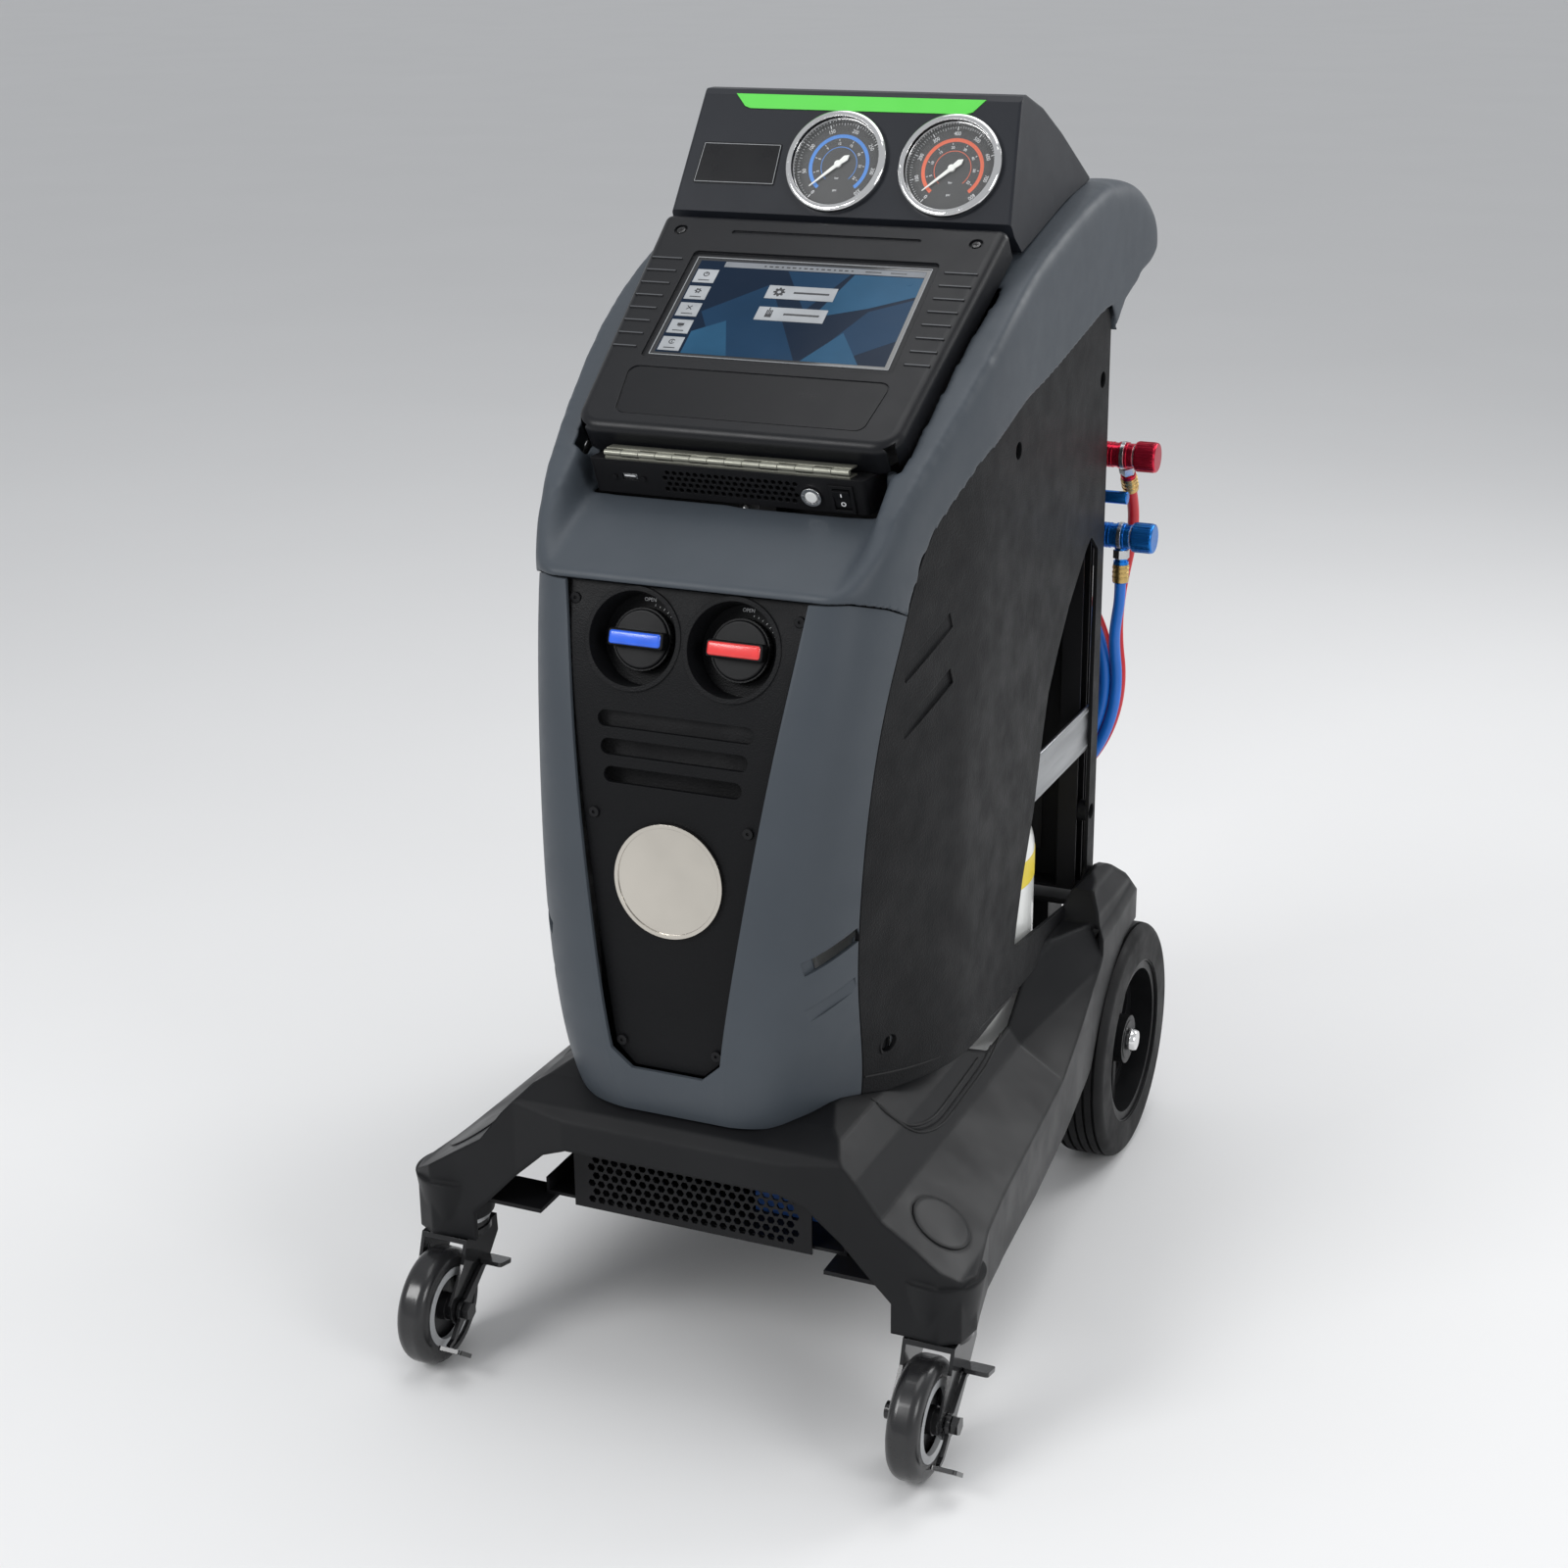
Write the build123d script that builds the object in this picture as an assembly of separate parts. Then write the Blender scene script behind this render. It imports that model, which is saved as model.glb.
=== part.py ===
from build123d import *
import math
import os

# ---------------------------------------------------------------------------
# Driving dimensions, millimetres. Front is -Y, up is +Z, ground is z = 0.
# The outline is laid out from the rear axle line (y = 0) and the finished
# pieces are moved by SHIFT_Y so that the origin is the middle of the footprint.
# ---------------------------------------------------------------------------
SHIFT_Y = 276.7
REAR_WHEEL_R = 127.0
REAR_WHEEL_W = 58.0
REAR_WHEEL_OUT = 241.0
CASTER_R = 55.0
CASTER_W = 30.0
CASTER_X = 240.7
CASTER_Y = -602.4
CASTER_LEAD = 48.0
BODY_HALF = 190.0
HOOD_HALF = 196.0
WALL = 4.0
SCREEN_W = 225.6
SCREEN_H = 127.5
SCREEN_TILT = 33.1
GAUGE_R = 48.8
GAUGE_X = (-9.5, 100.5)
PANEL_TILT = 28.2
KNOB_X = 45.7
KNOB_Z = 707.9
HOSE_D = 12.0
DECK_Z = 296.0

os.makedirs("parts", exist_ok=True)
PARTS = {}


def vec(*a):
    return Vector(*a)


def box(x0, x1, y0, y1, z0, z1):
    return Pos((x0 + x1) / 2, (y0 + y1) / 2, (z0 + z1) / 2) * Box(
        x1 - x0, y1 - y0, z1 - z0
    )


def cyl(p, d, r, length):
    """cylinder from p along d."""
    return Plane(origin=p, z_dir=d) * Pos(0, 0, length / 2) * Cylinder(r, length)


def cone(p, d, r0, r1, length):
    return Plane(origin=p, z_dir=d) * Pos(0, 0, length / 2) * Cone(r0, r1, length)


def ring(p, d, r1, r0, length):
    return cyl(p, d, r1, length) - cyl(
        vec(*p) - vec(*d).normalized() * 1, d, r0, length + 2
    )


def yz(points, x0, x1):
    """a closed outline of (y, z) points, extruded from x0 to x1."""
    face = make_face(Polyline([(0, y, z) for y, z in points], close=True))
    return Pos(x0, 0, 0) * extrude(face, amount=x1 - x0, dir=(1, 0, 0))


def xz(points, y0, y1):
    face = make_face(Polyline([(x, 0, z) for x, z in points], close=True))
    return Pos(0, y0, 0) * extrude(face, amount=y1 - y0, dir=(0, 1, 0))


def xy(points, z0, z1):
    face = make_face(Polyline([(x, y, 0) for x, y in points], close=True))
    return Pos(0, 0, z0) * extrude(face, amount=z1 - z0, dir=(0, 0, 1))


def yz_smooth(curve, rest, x0, x1):
    """an outline with one smooth run of (y, z) points, closed by straight ones."""
    run = Spline([(0, y, z) for y, z in curve])
    pts = [curve[-1]] + list(rest) + [curve[0]]
    lines = Polyline([(0, y, z) for y, z in pts])
    face = make_face([*run.edges(), *lines.edges()])
    return Pos(x0, 0, 0) * extrude(face, amount=x1 - x0, dir=(1, 0, 0))


def mirrored(s):
    return mirror(s, about=Plane.YZ)


def try_fillet(s, edges, r):
    for k in (1.0, 0.7, 0.45):
        try:
            out = s.fillet(r * k, edges)
            if out.is_valid and out.volume > 0:
                return out
        except Exception:
            pass
    print("fillet left out", r)
    return s


def rad(e):
    """radius of a round edge, 0 for any other."""
    try:
        return e.radius
    except Exception:
        return 0.0


def add(name, shape):
    """a node: one solid, or several separate solids of the same kind."""
    shapes = shape if isinstance(shape, (list, tuple)) else [shape]
    solids = []
    for s in shapes:
        found = s.solids() if hasattr(s, "solids") else [s]
        solids += [k for k in found if k.volume > 1.0]
    PARTS[name] = solids


# local frames of the two leaning faces
BEZ = Plane(
    origin=(0, -306.2, 984.9),
    x_dir=(1, 0, 0),
    z_dir=(
        0,
        -math.sin(math.radians(SCREEN_TILT)),
        math.cos(math.radians(SCREEN_TILT)),
    ),
)
GAU = Plane(
    origin=(0, -250.2, 1017.2),
    x_dir=(1, 0, 0),
    z_dir=(
        0,
        -math.cos(math.radians(PANEL_TILT)),
        math.sin(math.radians(PANEL_TILT)),
    ),
)


def plate(plane, pts, z0, z1, r=0):
    """outline of local (x, y) points on a leaning face, from z0 to z1 off it."""
    face = make_face(Polyline([(x, y, 0) for x, y in pts], close=True))
    if r:
        face = fillet(face.vertices(), r)
    return plane * Pos(0, 0, z0) * extrude(face, amount=z1 - z0, dir=(0, 0, 1))


# ---------------------------------------------------------------------------
# Body envelope: stacked plan outlines, inset by t
# ---------------------------------------------------------------------------
SECTIONS = [
    # z, half front, y front, seam x, seam y
    (284, 50, -624, 133, -540),
    (330, 54, -641, 138, -552),
    (400, 64, -645, 146, -562),
    (520, 80, -634, 153, -564),
    (640, 97, -613, 162, -540),
    (757, 112, -583, 170, -500),
]


def outline(wf, yf, xs, ys, t, side, z, yr):
    a = (wf - 0.4 * t, yf + t, z)
    s = (xs - 0.8 * t, ys + 0.6 * t, z)
    m = (side - 7 - t, (ys - 290) / 2 - 20, z)
    r = (side - t, -285, z)
    q = (side - t, yr - t, z)
    right = Spline([a, s, m, r], tangents=[(1, 0.12, 0), (0, 1, 0)])
    left = Spline(
        [(-p[0], p[1], z) for p in (r, m, s, a)], tangents=[(0, -1, 0), (1, -0.12, 0)]
    )
    front = Line((-a[0], a[1], z), a)
    side_r = Line(r, q)
    rear = Line(q, (-q[0], q[1], z))
    side_l = Line((-q[0], q[1], z), (-r[0], r[1], z))
    return make_face([*front.edges(), *right.edges(), *side_r.edges(), *rear.edges(), *side_l.edges(), *left.edges()])


def body(t, yr=0.0):
    faces = [outline(wf, yf, xs, ys, t, BODY_HALF, z, yr) for z, wf, yf, xs, ys in SECTIONS]
    return loft(faces)


HOOD_SECTIONS = [
    (700, 118, -584, 171, -506, 189.5),
    (790, 118, -584, 173, -500, 191.5),
    (900, 118, -584, 176, -494, 195.0),
    (1045, 118, -584, 178, -490, 190.0),
]
# side view of the hood's top, from the front lip to the push handle
HOOD_TOP = [
    (-585, 749),
    (-578, 763),
    (-556, 783),
    (-522, 815),
    (-478, 848),
    (-420, 887),
    (-361, 925),
    (-300, 957),
    (-250, 978),
    (-180, 998),
    (-90, 1018),
    (-10, 1029),
    (50, 1025),
    (104, 1008),
    (138, 986),
]
HANDLE_UNDER = [(152, 966), (146, 946), (120, 934), (72, 926), (26, 912), (0, 892)]


def hood_env(t):
    faces = [
        outline(wf, yf, xs, ys, t, side, z, 190.0)
        for z, wf, yf, xs, ys, side in HOOD_SECTIONS
    ]
    block = loft(faces)
    top = [(y, z - t) for y, z in HOOD_TOP]
    if t == 0:
        rest = HANDLE_UNDER + [(0, 680), (-620, 680), (-620, 749)]
    else:
        top = [p for p in top if p[0] < -5]
        rest = [(-t, 1020 - t), (-t, 680), (-620, 680), (-620, 749 - t)]
    prof = yz_smooth(top, rest, -230, 230)
    return block & prof


# ---------------------------------------------------------------------------
# Hood (upper grey moulding with front tray, side rails and push handle)
# ---------------------------------------------------------------------------
TRAY = [(-640, 735), (-574, 762.5), (-489, 804), (-470, 810), (-470, 1100), (-640, 1100)]
hood = hood_env(0)
hood_in = hood_env(WALL)
hood = try_fillet(
    hood,
    [
        e
        for e in hood.edges()
        if e.center().Z > 765
        and abs(e.center().X) > 150
        and -580 < e.center().Y < 20
        and e.length > 300
    ],
    22,
)
tray = yz(TRAY, -142, 142)
tray = try_fillet(
    tray, [e for e in tray.edges() if abs(abs(e.center().X) - 142) < 1 and e.length > 80 and e.center().Z < 790], 16
)
tray_in = yz(
    [(-640, 731), (-574, 758.5), (-489, 800), (-466, 806), (-466, 1100), (-640, 1100)],
    -146,
    146,
)
seam_pts = [
    (-640, 752),
    (-572, 752),
    (-540, 742),
    (-511, 729),
    (-501, 744),
    (-483, 771),
    (-463, 793),
    (-386, 834),
    (-277, 867),
    (-186, 884),
    (-57, 911),
    (-20, 914),
    (-1, 892),
]
below = yz(seam_pts + [(0.5, 860), (60, 860), (60, 600), (-640, 600)], -260, 260)
hood = hood - tray - (hood_in - tray_in)
hood = hood - below
# opening for the electronics under the console and for the gauges
hood = hood - yz([(-487, 815), (-487, 790), (-300, 790), (-262, 1100), (-487, 1100)], -134, 134)
hood = hood - box(-120, 120, -225, -70, 960, 1060)
# recess for the console rim so that it sits into the rails
hood = hood - plate(BEZ, [(-152.5, -226), (152.5, -226), (170.5, 60), (-170.5, 60)], -33, 40)
# hand opening between the rear wall and the grip bar
grip = yz([(2, 860), (100, 860), (106, 930), (108, 1060), (2, 1060)], -148, 148)
grip = try_fillet(grip, [e for e in grip.edges() if e.is_interior is False and e.length > 90 and abs(abs(e.center().X) - 148) < 0.5], 16)
hood = hood - grip
hood = [s for s in hood.solids() if s.volume > 3000]
add("hood", max(hood, key=lambda s: s.volume))

# ---------------------------------------------------------------------------
# Lower body: front frame, side panels, front panel
# ---------------------------------------------------------------------------
shell = body(0) - body(WALL, yr=30)
PIL = [(-498, 757), (-511, 727), (-528, 690), (-556, 590), (-567, 500), (-563, 410), (-535, 300), (-532, 280)]


def pillar_cut(d):
    """everything in front of the pillar seam, moved back by d."""
    run = Spline([(0, y + d, z) for y, z in PIL])
    pts = [(PIL[-1][0] + d, 280), (-700, 280), (-700, 757), (PIL[0][0] + d, 757)]
    face = make_face([*run.edges(), *Polyline([(0, y, z) for y, z in pts]).edges()])
    return Pos(-260, 0, 0) * extrude(face, amount=520, dir=(1, 0, 0))


def front_half(z):
    """half width of the front panel at height z."""
    return 48 + (z - 329) * (110.6 - 48) / (751.6 - 329)


panel_open = [
    (-front_half(760) - 1, 760),
    (front_half(760) + 1, 760),
    (front_half(351.5) + 0.7, 351.5),
    (33.4, 334.2),
    (-33.4, 334.2),
    (-front_half(351.5) - 0.7, 351.5),
]
frame_front = (shell & pillar_cut(0)) - xz(panel_open, -720, -520)
frame_front = frame_front - yz([(-700, 751), (-572, 751), (-540, 741), (-505, 726), (-480, 760), (-480, 800), (-700, 800)], -260, 260)
# two slanted grooves low on each pillar
for zc, dx in ((452, 134.5), (405, 133.9)):
    for sx in (-1, 1):
        g = Plane(origin=(sx * dx, -593.5, zc), z_dir=(sx * 0.88, -0.47, 0.0), x_dir=(sx * 0.47, 0.88, 0.30)) * Pos(0, 0, 5.5) * Box(62, 13, 16)
        frame_front = frame_front - g

side = shell - pillar_cut(1.2)
upper = yz([(y, z - 1.2) for y, z in seam_pts] + [(0.5, 870), (60, 870), (60, 1100), (-640, 1100)], -260, 260)
side_full = side
top_ext = None
# the side wall carries on above the lower body up to the hood seam
wall_up = loft([
    outline(112, -583, 170, -500, 0, BODY_HALF, 757, 0),
    outline(112, -583, 171, -498, 0, BODY_HALF, 925, 0),
]) - loft([
    outline(112, -583, 170, -500, WALL, BODY_HALF, 757, 30),
    outline(112, -583, 171, -498, WALL, BODY_HALF, 925, 30),
])
wall_up = wall_up - box(-300, 300, -700, -500.5, 700, 1000)
side = (side + wall_up) - upper
side = side - box(-300, 300, -8, 60, 200, 1000)
WINDOW = [
    (-268, 333),
    (-40, 306),
    (-31, 330),
    (-28, 672),
    (-52, 690),
    (-66, 682),
    (-119, 638),
    (-151, 602),
    (-179, 566),
    (-193, 531),
    (-217, 457),
    (-246, 397),
    (-260, 359),
]
window = yz(WINDOW, 120, 260)
window = try_fillet(window, [e for e in window.edges() if e.length > 130 and abs(e.center().X - 190) < 2], 6)
side_r = side & box(30, 300, -700, 60, 200, 1000)
side_r = side_r - window
# counterbored fixing holes
FIX = [(-286, 824, 189.5), (-512, 335, 155.0), (-30, 842, 190.0), (-22, 390, 190.0)]
for y, z, x in FIX:
    side_r = side_r + cyl((x - 12, y, z), (1, 0, 0), 11.0, 9.5)
    side_r = side_r - cyl((x - 7, y, z), (1, 0, 0), 8.2, 40) - cyl((x - 20, y, z), (1, 0, 0), 3.4, 60)
for y, z in ((-475, 692), (-475, 642)):
    side_r = side_r - (Plane(origin=(176.2, y, z), z_dir=(1, -0.168, 0.004), x_dir=(0.157, 0.926, 0.343)) * Pos(0, 0, 2.1) * Box(86, 15, 9))

# front panel, bowed in side view
ARC = [(-575, 751), (-592.5, 705), (-606.5, 650), (-616.5, 594), (-624, 530), (-629.5, 460), (-633, 380), (-634.5, 334)]


def arc_strip(d0, d1, half, z_low=324):
    front = [(y + d0, z) for y, z in ARC]
    back = [(y + d1, z) for y, z in reversed(ARC)]
    f = Spline([(0, y, z) for y, z in front])
    b = Spline([(0, y, z) for y, z in back])
    l0 = Line((0, *front[-1]), (0, *back[0]))
    l1 = Line((0, *back[-1]), (0, *front[0]))
    face = make_face([*f.edges(), *l0.edges(), *b.edges(), *l1.edges()])
    return Pos(-half, 0, 0) * extrude(face, amount=2 * half, dir=(1, 0, 0))


panel = arc_strip(0, 4, 130)
cut_pts = [
    (-front_half(750.5) + 0.5, 750.2),
    (front_half(750.5) - 0.5, 750.2),
    (front_half(352) - 0.5, 352),
    (33, 335),
    (-33, 335),
    (-front_half(352) + 0.5, 352),
]
panel = panel & xz(cut_pts, -720, -500)
KN_A = math.radians(17.0)
KN_DIR = (0, -math.cos(KN_A), math.sin(KN_A))
cups = []
for sx in (-1, 1):
    c = vec(sx * KNOB_X, -591.4, KNOB_Z)
    back = c - vec(*KN_DIR) * 30
    panel = panel - cyl(back, KN_DIR, 43.0, 60)
    cup = cyl(back, KN_DIR, 44.6, 31.0) - cone(
        back + vec(*KN_DIR) * 3, KN_DIR, 38.4, 40.6, 30.0
    )
    cup = cup - cyl(back - vec(*KN_DIR) * 5, KN_DIR, 5.0, 12)
    cups.append(cup)
for cup in cups:
    panel = panel + cup
for zc, hw in ((640.8, 72.4), (617.4, 68.3), (594.0, 64.2)):
    slot = xz([(-hw + 7, zc - 7), (hw - 7, zc - 7), (hw - 7, zc + 7), (-hw + 7, zc + 7)], -640, -560)
    slot = slot + cyl((-hw + 7, -640, zc), (0, 1, 0), 7, 80) + cyl((hw - 7, -640, zc), (0, 1, 0), 7, 80)
    panel = panel - slot
SCREWS = [(103.4, 735.6, -580.8), (72.0, 560.0, -620.8), (45.2, 356.5, -634.2)]
for x, z, y in SCREWS:
    for sx in (-1, 1):
        panel = panel - cyl((sx * x, y - 5, z), (0, 1, 0), 2.6, 18)
        panel = panel - cyl((sx * x, y - 6, z), (0, 1, 0), 5.0, 6.2)
panel = max(panel.solids(), key=lambda s: s.volume)
add("front_panel", panel)
heads = []
for x, z, y in SCREWS:
    for sx in (-1, 1):
        h = cyl((sx * x, y - 2.4, z), (0, 1, 0), 4.6, 2.4) + cyl((sx * x, y - 1, z), (0, 1, 0), 2.2, 14)
        h = h - cyl((sx * x, y - 3, z), (0, 1, 0), 1.6, 2)
        heads.append(h)
badge_c = vec(0, -626.5, 508.4)
bd = vec(0, -1, 0.075).normalized()
badge = cyl(badge_c - bd * 0.2, bd, 49.0, 2.6) + (cyl(badge_c - bd * 0.2, bd, 50.5, 3.6) - cyl(badge_c - bd * 1.2, bd, 47.0, 6))
badge = badge - arc_strip(0, 12, 60)
add("badge_disc", max(badge.solids(), key=lambda s: s.volume))

# side panel fixing screws with their cups
screws = []
for sx in (-1, 1):
    for y, z, x in FIX:
        screws.append(cyl((sx * (x - 11), y, z), (sx, 0, 0), 3.0, 6) + cyl((sx * (x - 7), y, z), (sx, 0, 0), 5.6, 3.2))

# ---------------------------------------------------------------------------
# Knobs: shaft, dial plate, body with grip
# ---------------------------------------------------------------------------
for name, sx in (("low", -1), ("high", 1)):
    c = vec(sx * KNOB_X, -591.4, KNOB_Z)
    fl = c - vec(*KN_DIR) * 27.0
    P = Plane(origin=fl, x_dir=(1, 0, 0), z_dir=KN_DIR)
    kb = P * Pos(0, 0, 6.6) * Cylinder(25.5, 10.0)
    kb = try_fillet(kb, [max(kb.edges(), key=lambda e: (e.center() - fl).length)], 2.0)
    bar = P * Pos(0, 0, 17.0) * Box(52.0, 15.0, 13.0)
    bar = try_fillet(bar, bar.edges(), 2.6)
    kb = kb + bar
    kb = kb + P * Pos(0, 0, -6) * Cylinder(4.9, 16)
    kb = kb - (P * Pos(0, 0, -8) * Cylinder(3.0, 14))
    add(f"knob_{name}", max(kb.solids(), key=lambda s: s.volume))

# valve manifold behind the knobs, with a stem for each knob
man = box(-82, 82, -545, -512, 672, 712)
man = man - cyl((-90, -528, 692), (1, 0, 0), 6, 180)
stems = []
for sx in (-1, 1):
    c = vec(sx * KNOB_X, -591.4, KNOB_Z)
    fl = c - vec(*KN_DIR) * 27.0
    stems.append(cyl(fl + vec(*KN_DIR) * 0.5, vec(*KN_DIR) * -1, 2.95, 34.0))
    man = man - cyl(fl, vec(*KN_DIR) * -1, 3.2, 44.0)
add("valve_manifold", max(man.solids(), key=lambda s: s.volume))

# ---------------------------------------------------------------------------
# Console: bezel, screen, pad, screws on a piano hinge; control box below it
# ---------------------------------------------------------------------------
BZ_T = 30.0
out_pts = [(-150, -222), (150, -222), (168, 57), (-168, 57)]
bez = plate(BEZ, out_pts, -BZ_T, 0)
low_e = [e for e in bez.edges() if abs(e.length - BZ_T) < 0.5 and e.center().Z < 900]
bez = try_fillet(bez, low_e, 24)
top_e = [e for e in bez.edges() if abs(e.length - BZ_T) < 0.5 and e.center().Z > 950]
bez = try_fillet(bez, top_e, 8)
face_top = max(bez.faces().filter_by(Axis((0, 0, 0), BEZ.z_dir)), key=lambda f: (f.center() - BEZ.origin).dot(BEZ.z_dir))
bez = try_fillet(bez, face_top.edges(), 9)
bez = bez - plate(BEZ, [(-146, -218), (146, -218), (163, 52), (-163, 52)], -BZ_T - 5, -WALL)
# stepped recess for the display
bez = bez - plate(BEZ, [(-119, -134), (119, -134), (119, 6.5), (-119, 6.5)], -2.5, 5, 5)
bez = bez - plate(BEZ, [(-113.4, -128.1), (113.4, -128.1), (113.4, 0.6), (-113.4, 0.6)], -20, 5)
bez = bez - plate(BEZ, [(-116, -204), (116, -204), (124, -145), (-124, -145)], -1.2, 5, 9)
bez = bez - plate(BEZ, [(-92, 31.0), (92, 31.0), (92, 36.0), (-92, 36.0)], -1.6, 5, 2.4)
for k in range(8):
    yl = -6 - k * 16.6
    for sx in (-1, 1):
        x1 = 158 + yl * 0.063
        bez = bez + BEZ * Pos(sx * (x1 + 126.5) / 2, yl, 0.1) * Box(x1 - 126.5, 1.8, 1.6)
for sx in (-1, 1):
    bez = bez - (BEZ * Pos(sx * 143.7, 33.5, 0) * Cylinder(6.4, 5.0))
    bez = bez - (BEZ * Pos(sx * 143.7, 33.5, -3) * Cylinder(2.6, 20.0))
bez = max(bez.solids(), key=lambda s: s.volume)
add("console_bezel", bez)
scr = BEZ * Pos(0, -SCREEN_H / 2, -4.0) * Box(SCREEN_W, SCREEN_H, 2.8) + BEZ * Pos(0, -SCREEN_H / 2, -11.6) * Box(238, 140, 12.6)
add("touch_screen", scr)
HINGE = (-500.0, 843.0)
BOXP = [(-489, 805.5), (-504, 838), (-330, 838), (-330, 805.5)]
cbox = yz(BOXP, -128, 128) - yz([(-484.5, 808.5), (-498.5, 835), (-327, 835), (-327, 808.5)], -125, 125)
# recess on the underside rim so that it sits over the tray's inner edge
FR_N = vec(0, -32.5, -15).normalized()
FRB = Plane(origin=(0, -496.5, 821.75), x_dir=(1, 0, 0), z_dir=FR_N)
cbox = try_fillet(cbox, [e for e in cbox.edges() if abs(abs(e.center().X) - 128) < 0.5 and abs(e.length - 35.8) < 1.0], 4)
cut = None
hexes = []
for row in range(4):
    for col in range(19):
        x = -58 + col * 6.6 + (3.3 if row % 2 else 0)
        hexes.append(FRB * Pos(x, -9.2 + row * 5.9, 0) * extrude(RegularPolygon(2.6, 6), amount=12, both=True))
cbox = cbox.cut(*hexes)
cbox = cbox - FRB * Pos(-92, 0.5, 0) * Box(14.4, 6.6, 20)
for x in (-106.5, -79.0):
    cbox = cbox - FRB * Pos(x, 0, 0) * Cylinder(1.4, 20)
cbox = cbox - FRB * Pos(78, -2.4, 0) * Cylinder(7.6, 20)
cbox = cbox - FRB * Pos(106, -2.4, 0) * Box(19.4, 26.4, 20)
cbox = max(cbox.solids(), key=lambda s: s.volume)
add("control_box", cbox)
heads += [FRB * Pos(x, 0, -1.5) * Cylinder(1.3, 6) + FRB * Pos(x, 0, 1.1) * Cylinder(2.4, 1.2) for x in (-106.5, -79.0)]
add("panel_screws", heads + screws)
pb = FRB * Pos(78, -2.4, 1.15) * Cylinder(8.9, 2.2) + FRB * Pos(78, -2.4, -4) * Cylinder(7.5, 10)
pb = pb - FRB * Pos(78, -2.4, -1) * Cylinder(5.8, 20)
btn = FRB * Pos(78, -2.4, -3.2) * Cylinder(5.7, 12.0)
btn = try_fillet(btn, [max(btn.edges(), key=lambda e: (e.center() - FRB.origin).dot(FR_N))], 1.2)
add("power_button", btn)
rb = FRB * Pos(106, -2.4, 0.95) * Box(21.6, 28.0, 1.8) + FRB * Pos(106, -2.4, -3.9) * Box(19.2, 26.2, 9.2)
rb = rb - FRB * Pos(106, -2.4, -2.0) * Box(15.4, 22.4, 20.0)
add("switch_bezels", [pb, rb])
# rocker with a pivot along X at its middle
RK = Plane(origin=FRB.from_local_coords(vec(106, -2.4, -3.0)), x_dir=(1, 0, 0), z_dir=FR_N)
rk_face = make_face(Polyline([(0, -9.6, 3.2), (0, 0, 4.0), (0, 9.6, 6.6), (0, 9.6, -2.0), (0, 0, -6.0), (0, -9.6, -2.0)], close=True))
rk = RK * Pos(-7.4, 0, 0) * extrude(rk_face, amount=14.8, dir=(1, 0, 0))
add("rocker_switch", rk)

# piano hinge: lower leaf on the control box, upper leaf under the console
pin = cyl((-114, HINGE[0], HINGE[1]), (1, 0, 0), 1.2, 228)
n_k = 14
lk, uk = [], []
low_leaf = box(-114, 114, HINGE[0] + 0.2, HINGE[0] + 16, 838.0, 839.6)
up_leaf = box(-114, 114, HINGE[0] + 3.4, HINGE[0] + 16, 845.2, 846.6)
for k in range(n_k):
    x0 = -114 + k * 228 / n_k
    kn = cyl((x0 + 0.2, HINGE[0], HINGE[1]), (1, 0, 0), 2.6, 228 / n_k - 0.4)
    if k % 2 == 0:
        lk.append(kn + box(x0 + 0.2, x0 + 228 / n_k - 0.2, HINGE[0] + 0.2, HINGE[0] + 2.0, 838.2, HINGE[1]))
    else:
        uk.append(kn + box(x0 + 0.2, x0 + 228 / n_k - 0.2, HINGE[0], HINGE[0] + 5.0, 845.2, 846.0 - 0.4))
lower_leaf = low_leaf
for k in lk:
    lower_leaf = lower_leaf + k
lower_leaf = lower_leaf + pin
upper_leaf = up_leaf
for k in uk:
    upper_leaf = upper_leaf + k
upper_leaf = upper_leaf - cyl((-116, HINGE[0], HINGE[1]), (1, 0, 0), 1.26, 232)
add("hinge_leaf_lower", max(lower_leaf.solids(), key=lambda s: s.volume))
add("hinge_leaf_upper", max(upper_leaf.solids(), key=lambda s: s.volume))

# ---------------------------------------------------------------------------
# Gauge housing with two gauges
# ---------------------------------------------------------------------------
GH = [(-250.2, 1017.2), (-196.5, 1117.5), (-190, 1122), (-178, 1122.5), (-135, 1108), (-86, 1082), (-10, 1034), (-14, 1030.5), (-90, 1019.6), (-180, 999.8), (-226, 990), (-243, 1005)]


def gh_solid(t):
    prof = make_face(Polyline([(0, y, z) for y, z in GH], close=True))
    blk = Pos(-230, 0, 0) * extrude(prof, amount=460, dir=(1, 0, 0))
    trap = xz([(-171 + t, 970), (171 - t, 970), (154.6 - t, 1130), (-154.6 + t, 1130)], -300, 20)
    return blk & trap


gh = gh_solid(0)
gh = try_fillet(gh, [e for e in gh.edges() if abs(e.center().X) > 140 and e.center().Z > 1040 and e.length > 30], 7)
inner = yz([(-243.5, 1014), (-192, 1110), (-184, 1117), (-177, 1117), (-137, 1103), (-88, 1077), (-30, 1040), (-92, 1010), (-180, 985), (-226, 970)], -150, 150)
gh = gh - inner
for gx in GAUGE_X:
    gh = gh - GAU * Pos(gx, 51, 0) * Cylinder(43.5, 30)
gh = max(gh.solids(), key=lambda s: s.volume)
STRIP = [(-123, 115.2), (-112, 102.5), (-106, 100.5), (106, 100.5), (112, 102.5), (123, 115.2)]
strip_cut = plate(GAU, STRIP, -1.5, 4)
strip_top = yz([(-199, 1112), (-196.5, 1123.5), (-178, 1124), (-164, 1119), (-166, 1116), (-178, 1120), (-194, 1119)], -116, 116)
gh = gh - plate(GAU, STRIP, -1.5, 4)
gh = max(gh.solids(), key=lambda s: s.volume)
add("gauge_housing", gh)
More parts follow.
